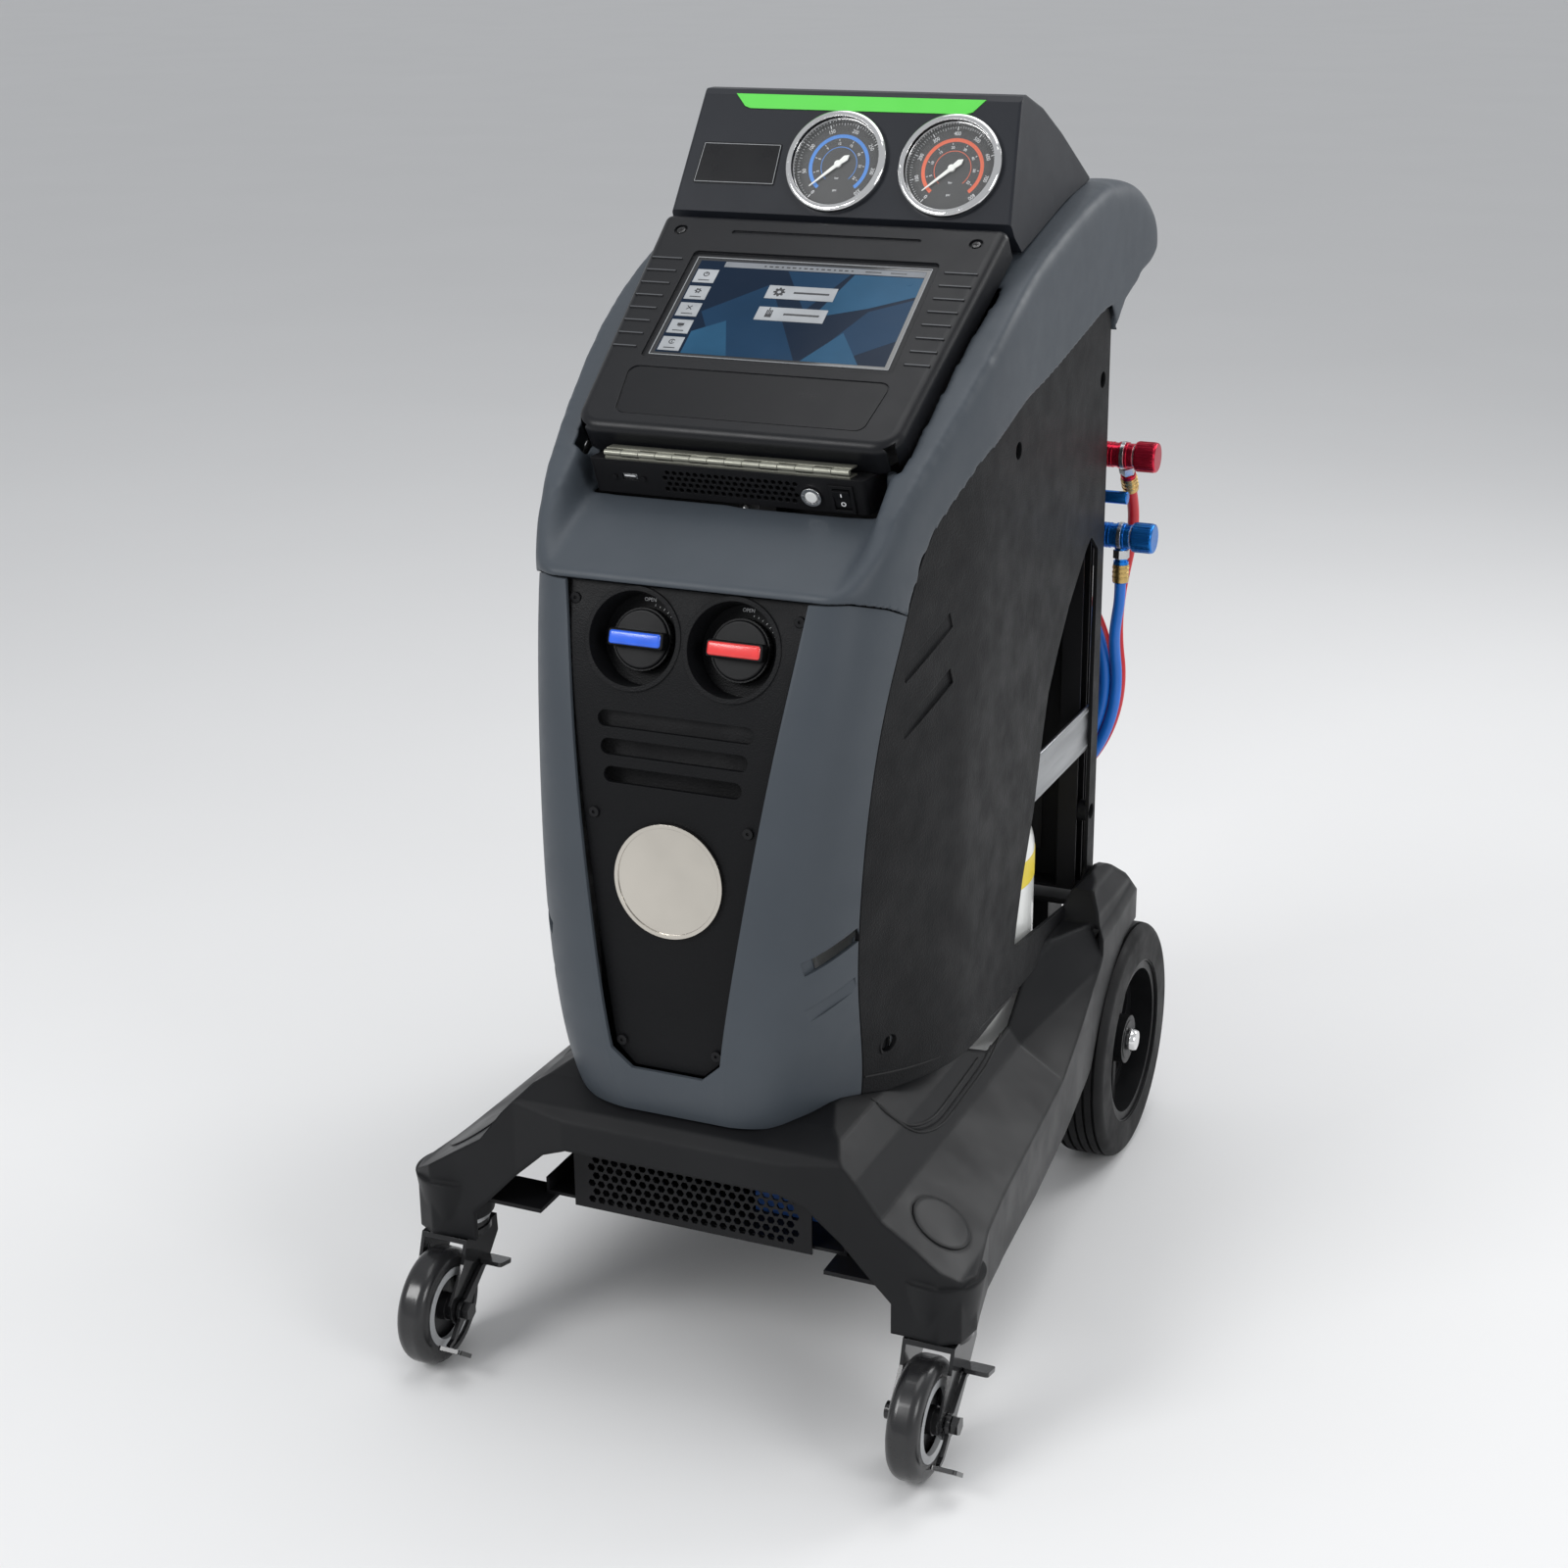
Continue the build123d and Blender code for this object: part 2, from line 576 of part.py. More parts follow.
add("accent_strip", plate(GAU, [(-122.6, 114.9), (-111.8, 102.9), (-105.8, 100.9), (105.8, 100.9), (111.8, 102.9), (122.6, 114.9)], -1.4, 0.4))

cases, dials, lenses = [], [], []
for tag, gx in (("low", GAUGE_X[0]), ("high", GAUGE_X[1])):
    G = GAU * Pos(gx, 51, 0)
    case = G * Pos(0, 0, -14.0) * Cylinder(43.2, 30) - G * Pos(0, 0, -10) * Cylinder(41.6, 32)
    case = case + G * Pos(0, 0, -36) * Cylinder(7, 14)
    case = case - G * Pos(0, 0, -30) * Cylinder(1.6, 40)
    bz = G * Pos(0, 0, 3.6) * Cylinder(GAUGE_R, 7.0) - G * Pos(0, 0, 3.6) * Cylinder(42.4, 12)
    gc = GAU.from_local_coords(vec(gx, 51, 0))
    bz = try_fillet(bz, [e for e in bz.edges() if e.bounding_box().diagonal > 90 and (e.center() - gc).dot(GAU.z_dir) > 3 and e.length > 290], 3.4)
    cases.append(case + bz)
    dials.append(G * Pos(0, 0, -5.4) * Cylinder(41.4, 1.2) - G * Pos(0, 0, -5.4) * Cylinder(1.62, 4))
    # needle pointing down left near zero, on its spindle
    ang = math.radians(222.0)
    N = G * Rot(0, 0, math.degrees(ang))
    nd = make_face(Polyline([(33, 0.35, 0), (0, 1.9, 0), (-9, 2.8, 0), (-13, 0, 0), (-9, -2.8, 0), (0, -1.9, 0), (33, -0.35, 0)], close=True))
    needle = N * Pos(0, 0, -2.6) * extrude(nd, amount=0.8, dir=(0, 0, 1))
    needle = needle + G * Pos(0, 0, -2.0) * Cylinder(3.2, 2.2) + G * Pos(0, 0, -8.0) * Cylinder(1.55, 12)
    add(f"gauge_needle_{tag}", needle)
    lenses.append(G * Pos(0, 0, 2.4) * Cylinder(42.2, 1.6))
add("gauge_cases", cases)
add("gauge_dials", dials)
add("gauge_lenses", lenses)

# ---------------------------------------------------------------------------
# Base cover with legs and mudguards, chassis and running gear
# ---------------------------------------------------------------------------
PLAN = [
    (0, -641),
    (107, -641),
    (160, -634),
    (225, -634),
    (250, -637),
    (268, -628),
    (275, -606),
    (271, -585),
    (262, -540),
    (256, -480),
    (248, -361),
    (240, -244),
    (234, -141),
    (233, -60),
    (231, 20),
    (0, 20),
]


def sym(pts):
    return pts + [(-x, y) for x, y in reversed(pts) if x > 0]


def base_env(t):
    pts = [(x - t if x > 20 else x, y + t if y < -300 else y) for x, y in PLAN]
    # plan outline, then front view and side view profiles cut it to height
    blk = xy(sym(pts), 60, 420)
    front = xz(
        sym(
            [
                (0, 300 - t),
                (128, 296 - t),
                (150, 284 - t),
                (172, 260 - t),
                (196, 228 - t),
                (266, 182 - t),
                (276, 178 - t),
                (276, 60),
                (0, 60),
            ]
        ),
        -700,
        -120,
    )
    rear = xz(
        sym(
            [
                (0, 296 - t),
                (180, 296 - t),
                (194, 330 - t),
                (206, 341 - t),
                (216, 336 - t),
                (226, 312 - t),
                (236, 276 - t),
                (236, 60),
                (0, 60),
            ]
        ),
        -110,
        30,
    )
    mid = loft(
        [
            Pos(0, -260, 0) * make_face(Polyline([(x, 0, z) for x, z in sym([(0, 300 - t), (128, 296 - t), (150, 284 - t), (172, 260 - t), (196, 228 - t), (266, 182 - t), (276, 178 - t), (276, 60), (0, 60)])], close=True)),
            Pos(0, -108, 0) * make_face(Polyline([(x, 0, z) for x, z in sym([(0, 296 - t), (182, 296 - t), (196, 324 - t), (212, 324 - t), (236, 262 - t), (276, 200 - t), (276, 60), (0, 60)])], close=True)),
        ],
        ruled=True,
    )
    front = xz(
        sym([(0, 300 - t), (128, 296 - t), (150, 284 - t), (172, 260 - t), (196, 228 - t), (266, 182 - t), (276, 178 - t), (276, 60), (0, 60)]),
        -700,
        -260,
    )
    prof = yz(
        [
            (-660, 60),
            (-660, 262 - t),
            (-641 + t, 266 - t),
            (-630, 276 - t),
            (-600, 290 - t),
            (-540, 302 - t),
            (-110, 302 - t),
            (-96, 332 - t),
            (-60, 342 - t),
            (-30, 338 - t),
            (0, 318 - t),
            (21, 292 - t),
            (40, 280),
            (40, 60),
        ],
        -300,
        300,
    )
    return (blk & (front + mid + rear)) & prof


deck_cut = base_env(-0.5)
frame_front = frame_front - deck_cut
add("front_frame", max(frame_front.solids(), key=lambda s: s.volume))
side_r = side_r - deck_cut
side_r = max(side_r.solids(), key=lambda s: s.volume)
add("side_panel_right", side_r)
add("side_panel_left", mirrored(side_r))
base = base_env(0)
base = base - base_env(5.0)
# lower edge: open arch at the front, rising skirt at the sides, wheel arch
base = base - xz(sym([(0, 238), (104, 238), (128, 228), (160, 198), (188, 168), (206, 150), (206, 40), (0, 40)]), -720, -560)
base = base - yz([(-720, 40), (-720, 118), (-640, 120), (-588, 128), (-497, 124), (-361, 125), (-244, 133), (-160, 150), (-141, 156), (-118, 190), (-95, 216), (-60, 240), (-28, 256), (30, 262), (60, 262), (60, 40)], -300, 300)
base = max(base.solids(), key=lambda s: s.volume)
# round foot sleeves over the casters
for sx in (-1, 1):
    foot = cone((sx * CASTER_X, CASTER_Y, 133.5), (0, 0, 1), 33.0, 39.0, 42) - cyl((sx * CASTER_X, CASTER_Y, 120), (0, 0, 1), 27.0, 70)
    base = base - cyl((sx * CASTER_X, CASTER_Y, 100), (0, 0, 1), 30.0, 72)
    base = base + foot
# opening in the deck under the body, and room for the caster plates
base = base - xy([(-104, -566), (104, -566), (112, -500), (140, -440), (182, -320), (182, -45), (-182, -45), (-182, -320), (-140, -440), (-112, -500)], 225, 320)
for sx in (-1, 1):
    a0, a1 = sorted((sx * 135, sx * 263))
    base = base - box(a0, a1, CASTER_Y - 24.6, CASTER_Y + 24.6, 159.4, 164.6)
    CP = Plane(origin=(sx * 231, -578, 205.0), x_dir=(0, 1, 0), z_dir=(sx * 0.549, 0, 0.836))
    base = base - CP * Cylinder(29.4, 4.4)
base = max(base.solids(), key=lambda s: s.volume)
add("base_cover", base)

caps = []
for sx in (-1, 1):
    CP = Plane(origin=(sx * 231, -578, 205.0), x_dir=(0, 1, 0), z_dir=(sx * 0.549, 0, 0.836))
    caps.append(CP * Pos(0, 0, -0.5) * Cylinder(29.0, 3.2))
add("leg_caps", caps)

gr = box(-118, 118, -600, -598, 160, 236)
holes = None
cells = []
for j in range(7):
    for i in range(22):
        x = -100 + i * 9.4 + (4.7 if j % 2 else 0)
        cells.append(Pos(x, -599, 170 + j * 8.2) * Rot(90, 0, 0) * extrude(RegularPolygon(3.9, 6), amount=6, both=True))
gr = gr.cut(*cells)
add("base_grille", max(gr.solids(), key=lambda s: s.volume))

# chassis: steel base tray, uprights and head frame
tray_p = box(-150, 150, -596, -30, 164, 167) + box(-150, -147, -596, -30, 164, 180) + box(147, 150, -596, -30, 164, 180)
tray_p = tray_p + box(-150, 150, -33, -30, 164, 288)
legs = []
for sx in (-1, 1):
    a0, a1 = sorted((sx * 140, sx * 262))
    tray_p = tray_p + box(a0, a1, CASTER_Y - 24, CASTER_Y + 24, 160.0, 164.0)
    tray_p = tray_p + box(min(sx * 140, sx * 150), max(sx * 140, sx * 150), -30, 16, 116, 288)
tray_p = tray_p - cyl((-200, 0, 127), (1, 0, 0), 8.0, 400)
add("chassis_tray", max(tray_p.solids(), key=lambda s: s.volume))
up = []
for sx in (-1, 1):
    a0, a1 = sorted((sx * 158, sx * 178))
    u_ = box(a0, a1, -34, -10, 304, 900) - box(a0 + 2 if sx > 0 else a0 - 1, a1 + 1 if sx > 0 else a1 - 2, -32, -12, 290, 910)
    up.append(u_)
cross = box(-178, 178, -34, -10, 898, 902) + box(-178, 178, -34, -10, 304, 307)
fr = up[0] + up[1] + cross
add("rear_frame", max(fr.solids(), key=lambda s: s.volume))
bp = box(-179, 179, -7.4, -5.4, 304, 896)
bp = bp - box(-40, 40, -12, 0, 360, 366)
for k in range(9):
    for sx in (-1, 1):
        bp = bp - box(min(sx * 60, sx * 130), max(sx * 60, sx * 130), -12, 0, 340 + k * 12, 345 + k * 12)
bp = bp - box(-150 + 14, -150 + 42, -12, 0, 336, 356)
bp = bp - box(-76, -24, -12, 0, 840, 872)
add("back_panel", max(bp.solids(), key=lambda s: s.volume))

axle = cyl((-236, 0, 127), (1, 0, 0), 7.95, 472)
add("rear_axle", axle)
caps_ax = []
for sx, tag in ((-1, "left"), (1, "right")):
    x_in = sx * (REAR_WHEEL_OUT - REAR_WHEEL_W)
    d = (sx, 0, 0)
    ty = cyl((x_in, 0, 127), d, REAR_WHEEL_R, REAR_WHEEL_W) - cyl((x_in - sx, 0, 127), d, 88.0, REAR_WHEEL_W + 2)
    ty = try_fillet(ty, [e for e in ty.edges() if rad(e) > 120], 11)
    for k in range(5):
        xg = x_in + sx * (9.5 + k * 9.75)
        ty = ty - ring((xg - sx * 1.5, 0, 127), d, 140, 122.5, 3.0)
    ty = max(ty.solids(), key=lambda s: s.volume)
    add(f"rear_tyre_{tag}", ty)
    rim = cyl((x_in + sx * 2, 0, 127), d, 88.0, REAR_WHEEL_W - 5) - cyl((x_in + sx * 3, 0, 127), d, 78.0, REAR_WHEEL_W)
    rim = rim - cyl((x_in + sx, 0, 127), d, 78.0, 20)
    web = cyl((x_in + sx * 22, 0, 127), d, 78.5, 8)
    for k in range(5):
        a = math.radians(90 + 72 * k)
        web = web - cyl((x_in, 52 * math.cos(a), 127 + 52 * math.sin(a)), d, 15.5, 60)
    hub = cyl((x_in + sx * 1, 0, 127), d, 21.0, REAR_WHEEL_W - 8)
    rim = rim + web + hub - cyl((x_in - sx, 0, 127), d, 8.0, REAR_WHEEL_W + 2)
    add(f"rear_rim_{tag}", max(rim.solids(), key=lambda s: s.volume))
    cap = cyl((x_in + sx * (REAR_WHEEL_W - 5.0), 0, 127), d, 12.5, 2.0)
    cap = cap + (Pos(x_in + sx * (REAR_WHEEL_W - 5.0), 0, 127) * Sphere(12.5) & box(min(x_in + sx * (REAR_WHEEL_W - 5), x_in + sx * (REAR_WHEEL_W + 20)), max(x_in + sx * (REAR_WHEEL_W - 5), x_in + sx * (REAR_WHEEL_W + 20)), -30, 30, 90, 160))
    cap = cap & cyl((x_in, 0, 127), d, 30, REAR_WHEEL_W + 2.0)
    cap = cap - cyl((x_in, 0, 127), d, 7.96, REAR_WHEEL_W - 4.9)
    caps_ax.append(max(cap.solids(), key=lambda s: s.volume))

add("axle_caps", caps_ax)

# casters: mounting stem with race, fork, tyre, rim, axle bolt, brake lever
WY = CASTER_Y - CASTER_LEAD
stems = []
for sx, tag in ((-1, "left"), (1, "right")):
    cx = sx * CASTER_X
    stem = cyl((cx, CASTER_Y, 127), (0, 0, 1), 26.5, 32.8) + cyl((cx, CASTER_Y, 127), (0, 0, 1), 29.0, 6.0)
    stem = stem - cyl((cx, CASTER_Y, 115), (0, 0, 1), 8.0, 36)
    stems.append(stem)
    fork = cyl((cx, CASTER_Y, 114), (0, 0, 1), 29.0, 6.0) + cyl((cx, CASTER_Y, 120), (0, 0, 1), 27.5, 6.6)
    fork = fork + cyl((cx, CASTER_Y, 116), (0, 0, 1), 7.95, 32.0)
    roof = box(cx - 24, cx + 24, CASTER_Y - 30, CASTER_Y + 26, 113.5, 118.0)
    skirt = yz([(CASTER_Y - 30, 118), (CASTER_Y + 26, 118), (CASTER_Y + 27, 100), (CASTER_Y + 6, 78), (WY + 16, 50), (WY + 8, 43), (WY - 8, 43), (WY - 15, 52), (WY - 16, 66), (CASTER_Y - 38, 96)], cx - 24, cx + 24)
    skirt = skirt - box(cx - 20.5, cx + 20.5, -800, -400, 0, 113.5)
    fork = fork + roof + skirt
    fork = fork - cyl((cx - 40, WY, CASTER_R), (1, 0, 0), 5.0, 80)
    fork = max(fork.solids(), key=lambda s: s.volume)
    bolt = cyl((cx - 27.5, WY, CASTER_R), (1, 0, 0), 4.95, 62.5)
    bolt = bolt + cyl((cx - 31.5, WY, CASTER_R), (1, 0, 0), 8.0, 7.2)
    nut = Plane(origin=(cx + 29.5, WY, CASTER_R), z_dir=(1, 0, 0)) * extrude(RegularPolygon(8.6, 6), amount=6.5)
    bolt = bolt + nut
    add(f"caster_fork_{tag}", [fork, bolt])
    ct = cyl((cx - CASTER_W / 2, WY, CASTER_R), (1, 0, 0), CASTER_R, CASTER_W) - cyl((cx - CASTER_W / 2 - 1, WY, CASTER_R), (1, 0, 0), 42.0, CASTER_W + 2)
    ct = try_fillet(ct, [e for e in ct.edges() if rad(e) > 50], 10)
    cr = cyl((cx - 13.5, WY, CASTER_R), (1, 0, 0), 42.0, 27) - ring((cx - 15, WY, CASTER_R), (1, 0, 0), 38, 13, 10) - ring((cx + 5, WY, CASTER_R), (1, 0, 0), 38, 13, 10)
    cr = cr + cyl((cx - 18.5, WY, CASTER_R), (1, 0, 0), 12, 37) - cyl((cx - 30, WY, CASTER_R), (1, 0, 0), 5.0, 60)
    cr = ct + cr
    add(f"caster_wheel_{tag}", max(cr.solids(), key=lambda s: s.volume))
    # brake lever on the +X side, pivoting on the wheel axle
    lv = cyl((cx + 25.0, WY, CASTER_R), (1, 0, 0), 10.5, 4.0)
    arm = yz([(WY - 5, 60), (WY + 5, 66), (WY + 34, 84), (WY + 44, 84), (WY + 44, 80), (WY + 37, 80), (WY + 6, 52), (WY - 20, 32), (WY - 30, 30), (WY - 30, 34), (WY - 22, 36), (WY - 8, 50)], cx + 25.0, cx + 29.0)
    lv = lv + arm
    pad_up = Pos(cx + 36, WY + 47, 84) * Rot(-14, 0, 0) * Box(24, 22, 4)
    pad_dn = Pos(cx + 36, WY - 33, 31) * Rot(-38, 0, 0) * Box(24, 26, 4)
    pad_up = try_fillet(pad_up, [e for e in pad_up.edges() if abs(e.length - 4) < 0.1], 3)
    pad_dn = try_fillet(pad_dn, [e for e in pad_dn.edges() if abs(e.length - 4) < 0.1], 3)
    lv = lv + pad_up + pad_dn
    lv = lv - cyl((cx + 20, WY, CASTER_R), (1, 0, 0), 5.0, 20)
    add(f"brake_lever_{tag}", max(lv.solids(), key=lambda s: s.volume))

add("caster_mounts", stems)

# ---------------------------------------------------------------------------
# Inside: tank on its scale, compressor, vacuum pump, fan, filter, board
# ---------------------------------------------------------------------------
sc = box(-126, 144, -330, -60, 170, 182)
add("scale_platform", sc)
tank = cyl((66, -190, 182.2), (0, 0, 1), 112, 262)
tank = try_fillet(tank, [e for e in tank.edges() if rad(e) > 100], 48)
tank = tank + ring((66, -190, 436), (0, 0, 1), 60, 57, 38) + cyl((66, -190, 440), (0, 0, 1), 16, 32)
# hollow vessel, open through the bore of its valve
vessel = cyl((66, -190, 185.7), (0, 0, 1), 108.5, 255)
vessel = try_fillet(vessel, [e for e in vessel.edges() if rad(e) > 100], 44.5)
tank = tank - vessel - cyl((66, -190, 430), (0, 0, 1), 5, 50)
add("refrigerant_tank", max(tank.solids(), key=lambda s: s.volume))
cm = cyl((-48, -470, 172), (0, 0, 1), 66, 146)
cm = try_fillet(cm, [e for e in cm.edges() if rad(e) > 60], 26)
for a in (45, 135, 225, 315):
    cm = cm + cyl((-48 + 74 * math.cos(math.radians(a)), -470 + 74 * math.sin(math.radians(a)), 167.2), (0, 0, 1), 12, 8) + box(-48 - 40, -48 + 40, -470 - 40, -470 + 40, 172, 176)
add("compressor", max(cm.solids(), key=lambda s: s.volume))
vp = cyl((82, -560, 232), (0, 1, 0), 46, 130) + box(44, 120, -556, -434, 167.2, 200)
vp = vp + cyl((82, -432, 232), (0, 1, 0), 30, 40)
add("vacuum_pump", max(vp.solids(), key=lambda s: s.volume))
fd = cyl((150, -430, 330), (0, 0, 1), 22, 110)
fd = try_fillet(fd, [e for e in fd.edges() if rad(e) > 20], 10) + cyl((150, -430, 430), (0, 0, 1), 5, 20) + cyl((150, -430, 320), (0, 0, 1), 5, 14)
add("filter_drier", max(fd.solids(), key=lambda s: s.volume))
fan = box(-70, 50, -60, -36, 540, 660) - cyl((-10, -70, 600), (0, 1, 0), 54, 50)
fan = fan + cyl((-10, -58, 600), (0, 1, 0), 18, 18)
for k in range(4):
    fan = fan + Pos(-10, -40, 600) * Rot(0, 45 + 90 * k, 0) * Pos(36, 0, 0) * Box(44, 3, 5)
add("fan_frame", max(fan.solids(), key=lambda s: s.volume))
pcb = box(-100, 100, -420, -340, 809.5, 812) + box(-80, -40, -400, -360, 812, 822) + box(20, 60, -410, -370, 812, 824)
add("circuit_board", pcb)

# ---------------------------------------------------------------------------
# Back: mains inlet, hose ports, hook, parking posts, couplers and hoses
# ---------------------------------------------------------------------------
inlet = box(-143 + 7.4, -108.4, -18, -2.6, 336.4, 355.6) + box(-147, -100, -5.3, -2.4, 330, 362)
inlet = inlet - box(-135, -110, -16, 0, 339, 353)
for x in (-129, -122.5, -116):
    inlet = inlet + box(x - 1, x + 1, -17, -6, 343, 349)
add("mains_inlet", max(inlet.solids(), key=lambda s: s.volume))

COIL_C = (30.0, 502.0)
COIL_Y = {"blue": 64.5, "red": 78.5}
COIL_OUT, COIL_IN = 158.0, 134.0
HOSE_R = HOSE_D / 2
hook_z = COIL_C[1] + COIL_IN - HOSE_R - 0.6
hook = box(0, 60, -5.3, -2.3, hook_z - 22, hook_z + 34)
hook = hook + yz([(-3, hook_z), (88, hook_z), (91, hook_z + 12), (98, hook_z + 12), (96, hook_z - 8), (-3, hook_z - 8)], 23, 37)
add("hose_hook", max(hook.solids(), key=lambda s: s.volume))
PARK_Y = 45.0
PARK_Z = {"red": 752.0, "blue": 668.0}
park = box(120, 160, -5.3, -2.3, 630, 790) + box(157, 160, -5.3, 66, 630, 790)
posts = []
for y, z, r, x1 in ((PARK_Y, PARK_Z["red"], 8.0, 172.0), (PARK_Y, PARK_Z["blue"], 8.0, 172.0), (PARK_Y, 708, 6.25, 197.5)):
    park = park - cyl((150, y, z), (1, 0, 0), 5.0, 20)
    p_ = cyl((154, y, z), (1, 0, 0), 4.95, x1 - 154) + cyl((160, y, z), (1, 0, 0), r, x1 - 160) + cyl((160, y, z), (1, 0, 0), r + 2.5, 3.5) + cyl((152, y, z), (1, 0, 0), 8, 5)
    posts.append(p_)
# each port stands off the back panel and turns into the plane of its coil
PORT_ANG = {"blue": -80.0, "red": -100.0}
PORT_R = 116.0
BARB = 28.0


def port(tag):
    """centre of the port's elbow, and the direction its barb points."""
    q = math.radians(PORT_ANG[tag])
    c = vec(COIL_C[0] + PORT_R * math.cos(q), COIL_Y[tag], COIL_C[1] + PORT_R * math.sin(q))
    return c, vec(-math.sin(q), 0, math.cos(q))


for tag in ("red", "blue"):
    c, d = port(tag)
    hexn = Plane(origin=(c.X, -2.3, c.Z), z_dir=(0, 1, 0)) * extrude(RegularPolygon(11, 6), amount=7)
    stub = cyl((c.X, 0, c.Z), (0, 1, 0), 7.4, c.Y)
    posts.append(hexn + stub + Pos(c.X, c.Y, c.Z) * Sphere(7.4) + cyl(c, d, 6.0, BARB) + cyl(c + d * 10, d, 7.0, BARB - 10))
add("parking_bracket", [max(park.solids(), key=lambda s: s.volume)] + posts)

def hose(points, name):
    """a tube along straight runs joined by tangent arcs."""
    radii = []
    for a, b, c in zip(points, points[1:], points[2:]):
        u, v = vec(*b) - vec(*a), vec(*c) - vec(*b)
        turn = math.radians(u.get_angle(v))
        radii.append(0.45 * min(u.length, v.length) / math.tan(turn / 2))
    print(name, "bend radii", [round(r) for r in radii])
    path = FilletPolyline([vec(*p) for p in points], radius=radii)
    first = vec(*points[1]) - vec(*points[0])
    prof = Plane(origin=points[0], z_dir=first) * Circle(HOSE_R)
    out = sweep(prof, path=path)
    print(name, "volume", round(out.volume), "section x length", round(math.pi * HOSE_R**2 * path.length), "length", round(path.length))
    return out


HOSE_TAIL = {
    "red": [(193.5, 72, 711), (193.5, 83, 694), (192.5, 91, 671), (189, 94.5, 645), (184, 93.5, 618), (181, 90, 592), (180.5, 85.5, 566), (183, 80.5, 541), (187.4, 78.5, 515.8)],
    "blue": [(193.5, 45, 619), (193.5, 46, 600), (189.5, 50, 579), (186, 56, 558), (185.6, 61.5, 537), (187.4, 64.5, 515.8)],
}
# from each barb round into the inner turn of the coil
HOSE_ROOT = {}
for tag, steps in (("blue", 5), ("red", 6)):
    c, d = port(tag)
    p0 = c + d * BARB
    p1 = p0 + d * 24
    q = math.radians(5.0)
    p4 = vec(COIL_C[0] + COIL_IN * math.cos(q), COIL_Y[tag], COIL_C[1] + COIL_IN * math.sin(q))
    reach = (p4 - p1).length * 0.36
    p2 = p1 + d * reach
    p3 = p4 - vec(-math.sin(q), 0, math.cos(q)) * reach
    pts = [p0, p1]
    for k in range(1, steps + 1):
        t = k / steps
        pts.append(p1 * (1 - t) ** 3 + p2 * (3 * t * (1 - t) ** 2) + p3 * (3 * t * t * (1 - t)) + p4 * t**3)
    HOSE_ROOT[tag] = [(v.X, v.Y, v.Z) for v in pts]
ELBOW = {"red": (0.0, 27.0, -41.0), "blue": (0.0, 0.0, -49.0)}
for tag in ("red", "blue"):
    cx, cz = COIL_C
    yc = COIL_Y[tag]
    add(f"hose_coil_{tag}", ring((cx, yc - 6.3, cz), (0, 1, 0), COIL_OUT + 6.3, COIL_IN - 6.3, 12.6))
    add(f"hose_{tag}", [hose(HOSE_TAIL[tag], f"hose tail {tag}"), hose(HOSE_ROOT[tag], f"hose root {tag}")])
    z = PARK_Z[tag]
    cp = cyl((164.0, PARK_Y, z), (1, 0, 0), 12.5, 39.5) + cyl((203, PARK_Y, z), (1, 0, 0), 9.0, 4) + cyl((205.5, PARK_Y, z), (1, 0, 0), 15.2, 22.5)
    cp = cp + cyl((188.5, PARK_Y, z), (1, 0, 0), 13.6, 9)
    cp = cp - cyl((163.0, PARK_Y, z), (1, 0, 0), 8.3, 9.3)
    ed = vec(*ELBOW[tag])
    e0 = vec(193.5, PARK_Y, z)
    cp = cp + cyl(e0, ed, 6.4, 30) + cyl(e0 + ed.normalized() * 26, ed, 7.8, ed.length - 26)
    cp = try_fillet(cp, [e for e in cp.edges() if abs(rad(e) - 15.2) < 0.05], 2.0)
    add(f"coupler_{tag}", cp)

for name, shape in PARTS.items():
    solids = [Pos(0, SHIFT_Y, 0) * s for s in shape]
    out = solids[0] if len(solids) == 1 else Compound(children=solids)
    export_step(out, f"parts/{name}.step")
print(len(PARTS), "nodes")
boxes = [s.bounding_box() for v in PARTS.values() for s in v]
print("x", min(b.min.X for b in boxes), max(b.max.X for b in boxes))
print("y", min(b.min.Y for b in boxes), max(b.max.Y for b in boxes))
print("z", min(b.min.Z for b in boxes), max(b.max.Z for b in boxes))
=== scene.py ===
import bmesh
import bpy
import math
import numpy as np
from mathutils import Matrix, Vector, kdtree


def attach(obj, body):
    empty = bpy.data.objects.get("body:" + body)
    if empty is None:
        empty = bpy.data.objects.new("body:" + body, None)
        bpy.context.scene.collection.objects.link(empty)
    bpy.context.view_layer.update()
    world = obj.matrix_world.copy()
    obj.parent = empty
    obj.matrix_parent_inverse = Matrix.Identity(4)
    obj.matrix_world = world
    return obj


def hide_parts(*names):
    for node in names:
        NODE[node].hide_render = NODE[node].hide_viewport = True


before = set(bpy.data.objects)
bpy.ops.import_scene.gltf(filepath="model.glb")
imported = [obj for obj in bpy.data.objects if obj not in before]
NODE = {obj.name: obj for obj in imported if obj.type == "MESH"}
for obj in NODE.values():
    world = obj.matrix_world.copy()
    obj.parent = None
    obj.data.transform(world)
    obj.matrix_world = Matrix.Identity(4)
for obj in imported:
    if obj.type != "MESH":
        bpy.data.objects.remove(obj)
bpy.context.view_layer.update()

# ---------------------------------------------------------------------------
# The layout frame: millimetres from the rear axle line, front -Y, ground z = 0
# ---------------------------------------------------------------------------
SHIFT = 276.7


def P(x, y, z):
    return Vector((x * 1e-3, (y + SHIFT) * 1e-3, z * 1e-3))


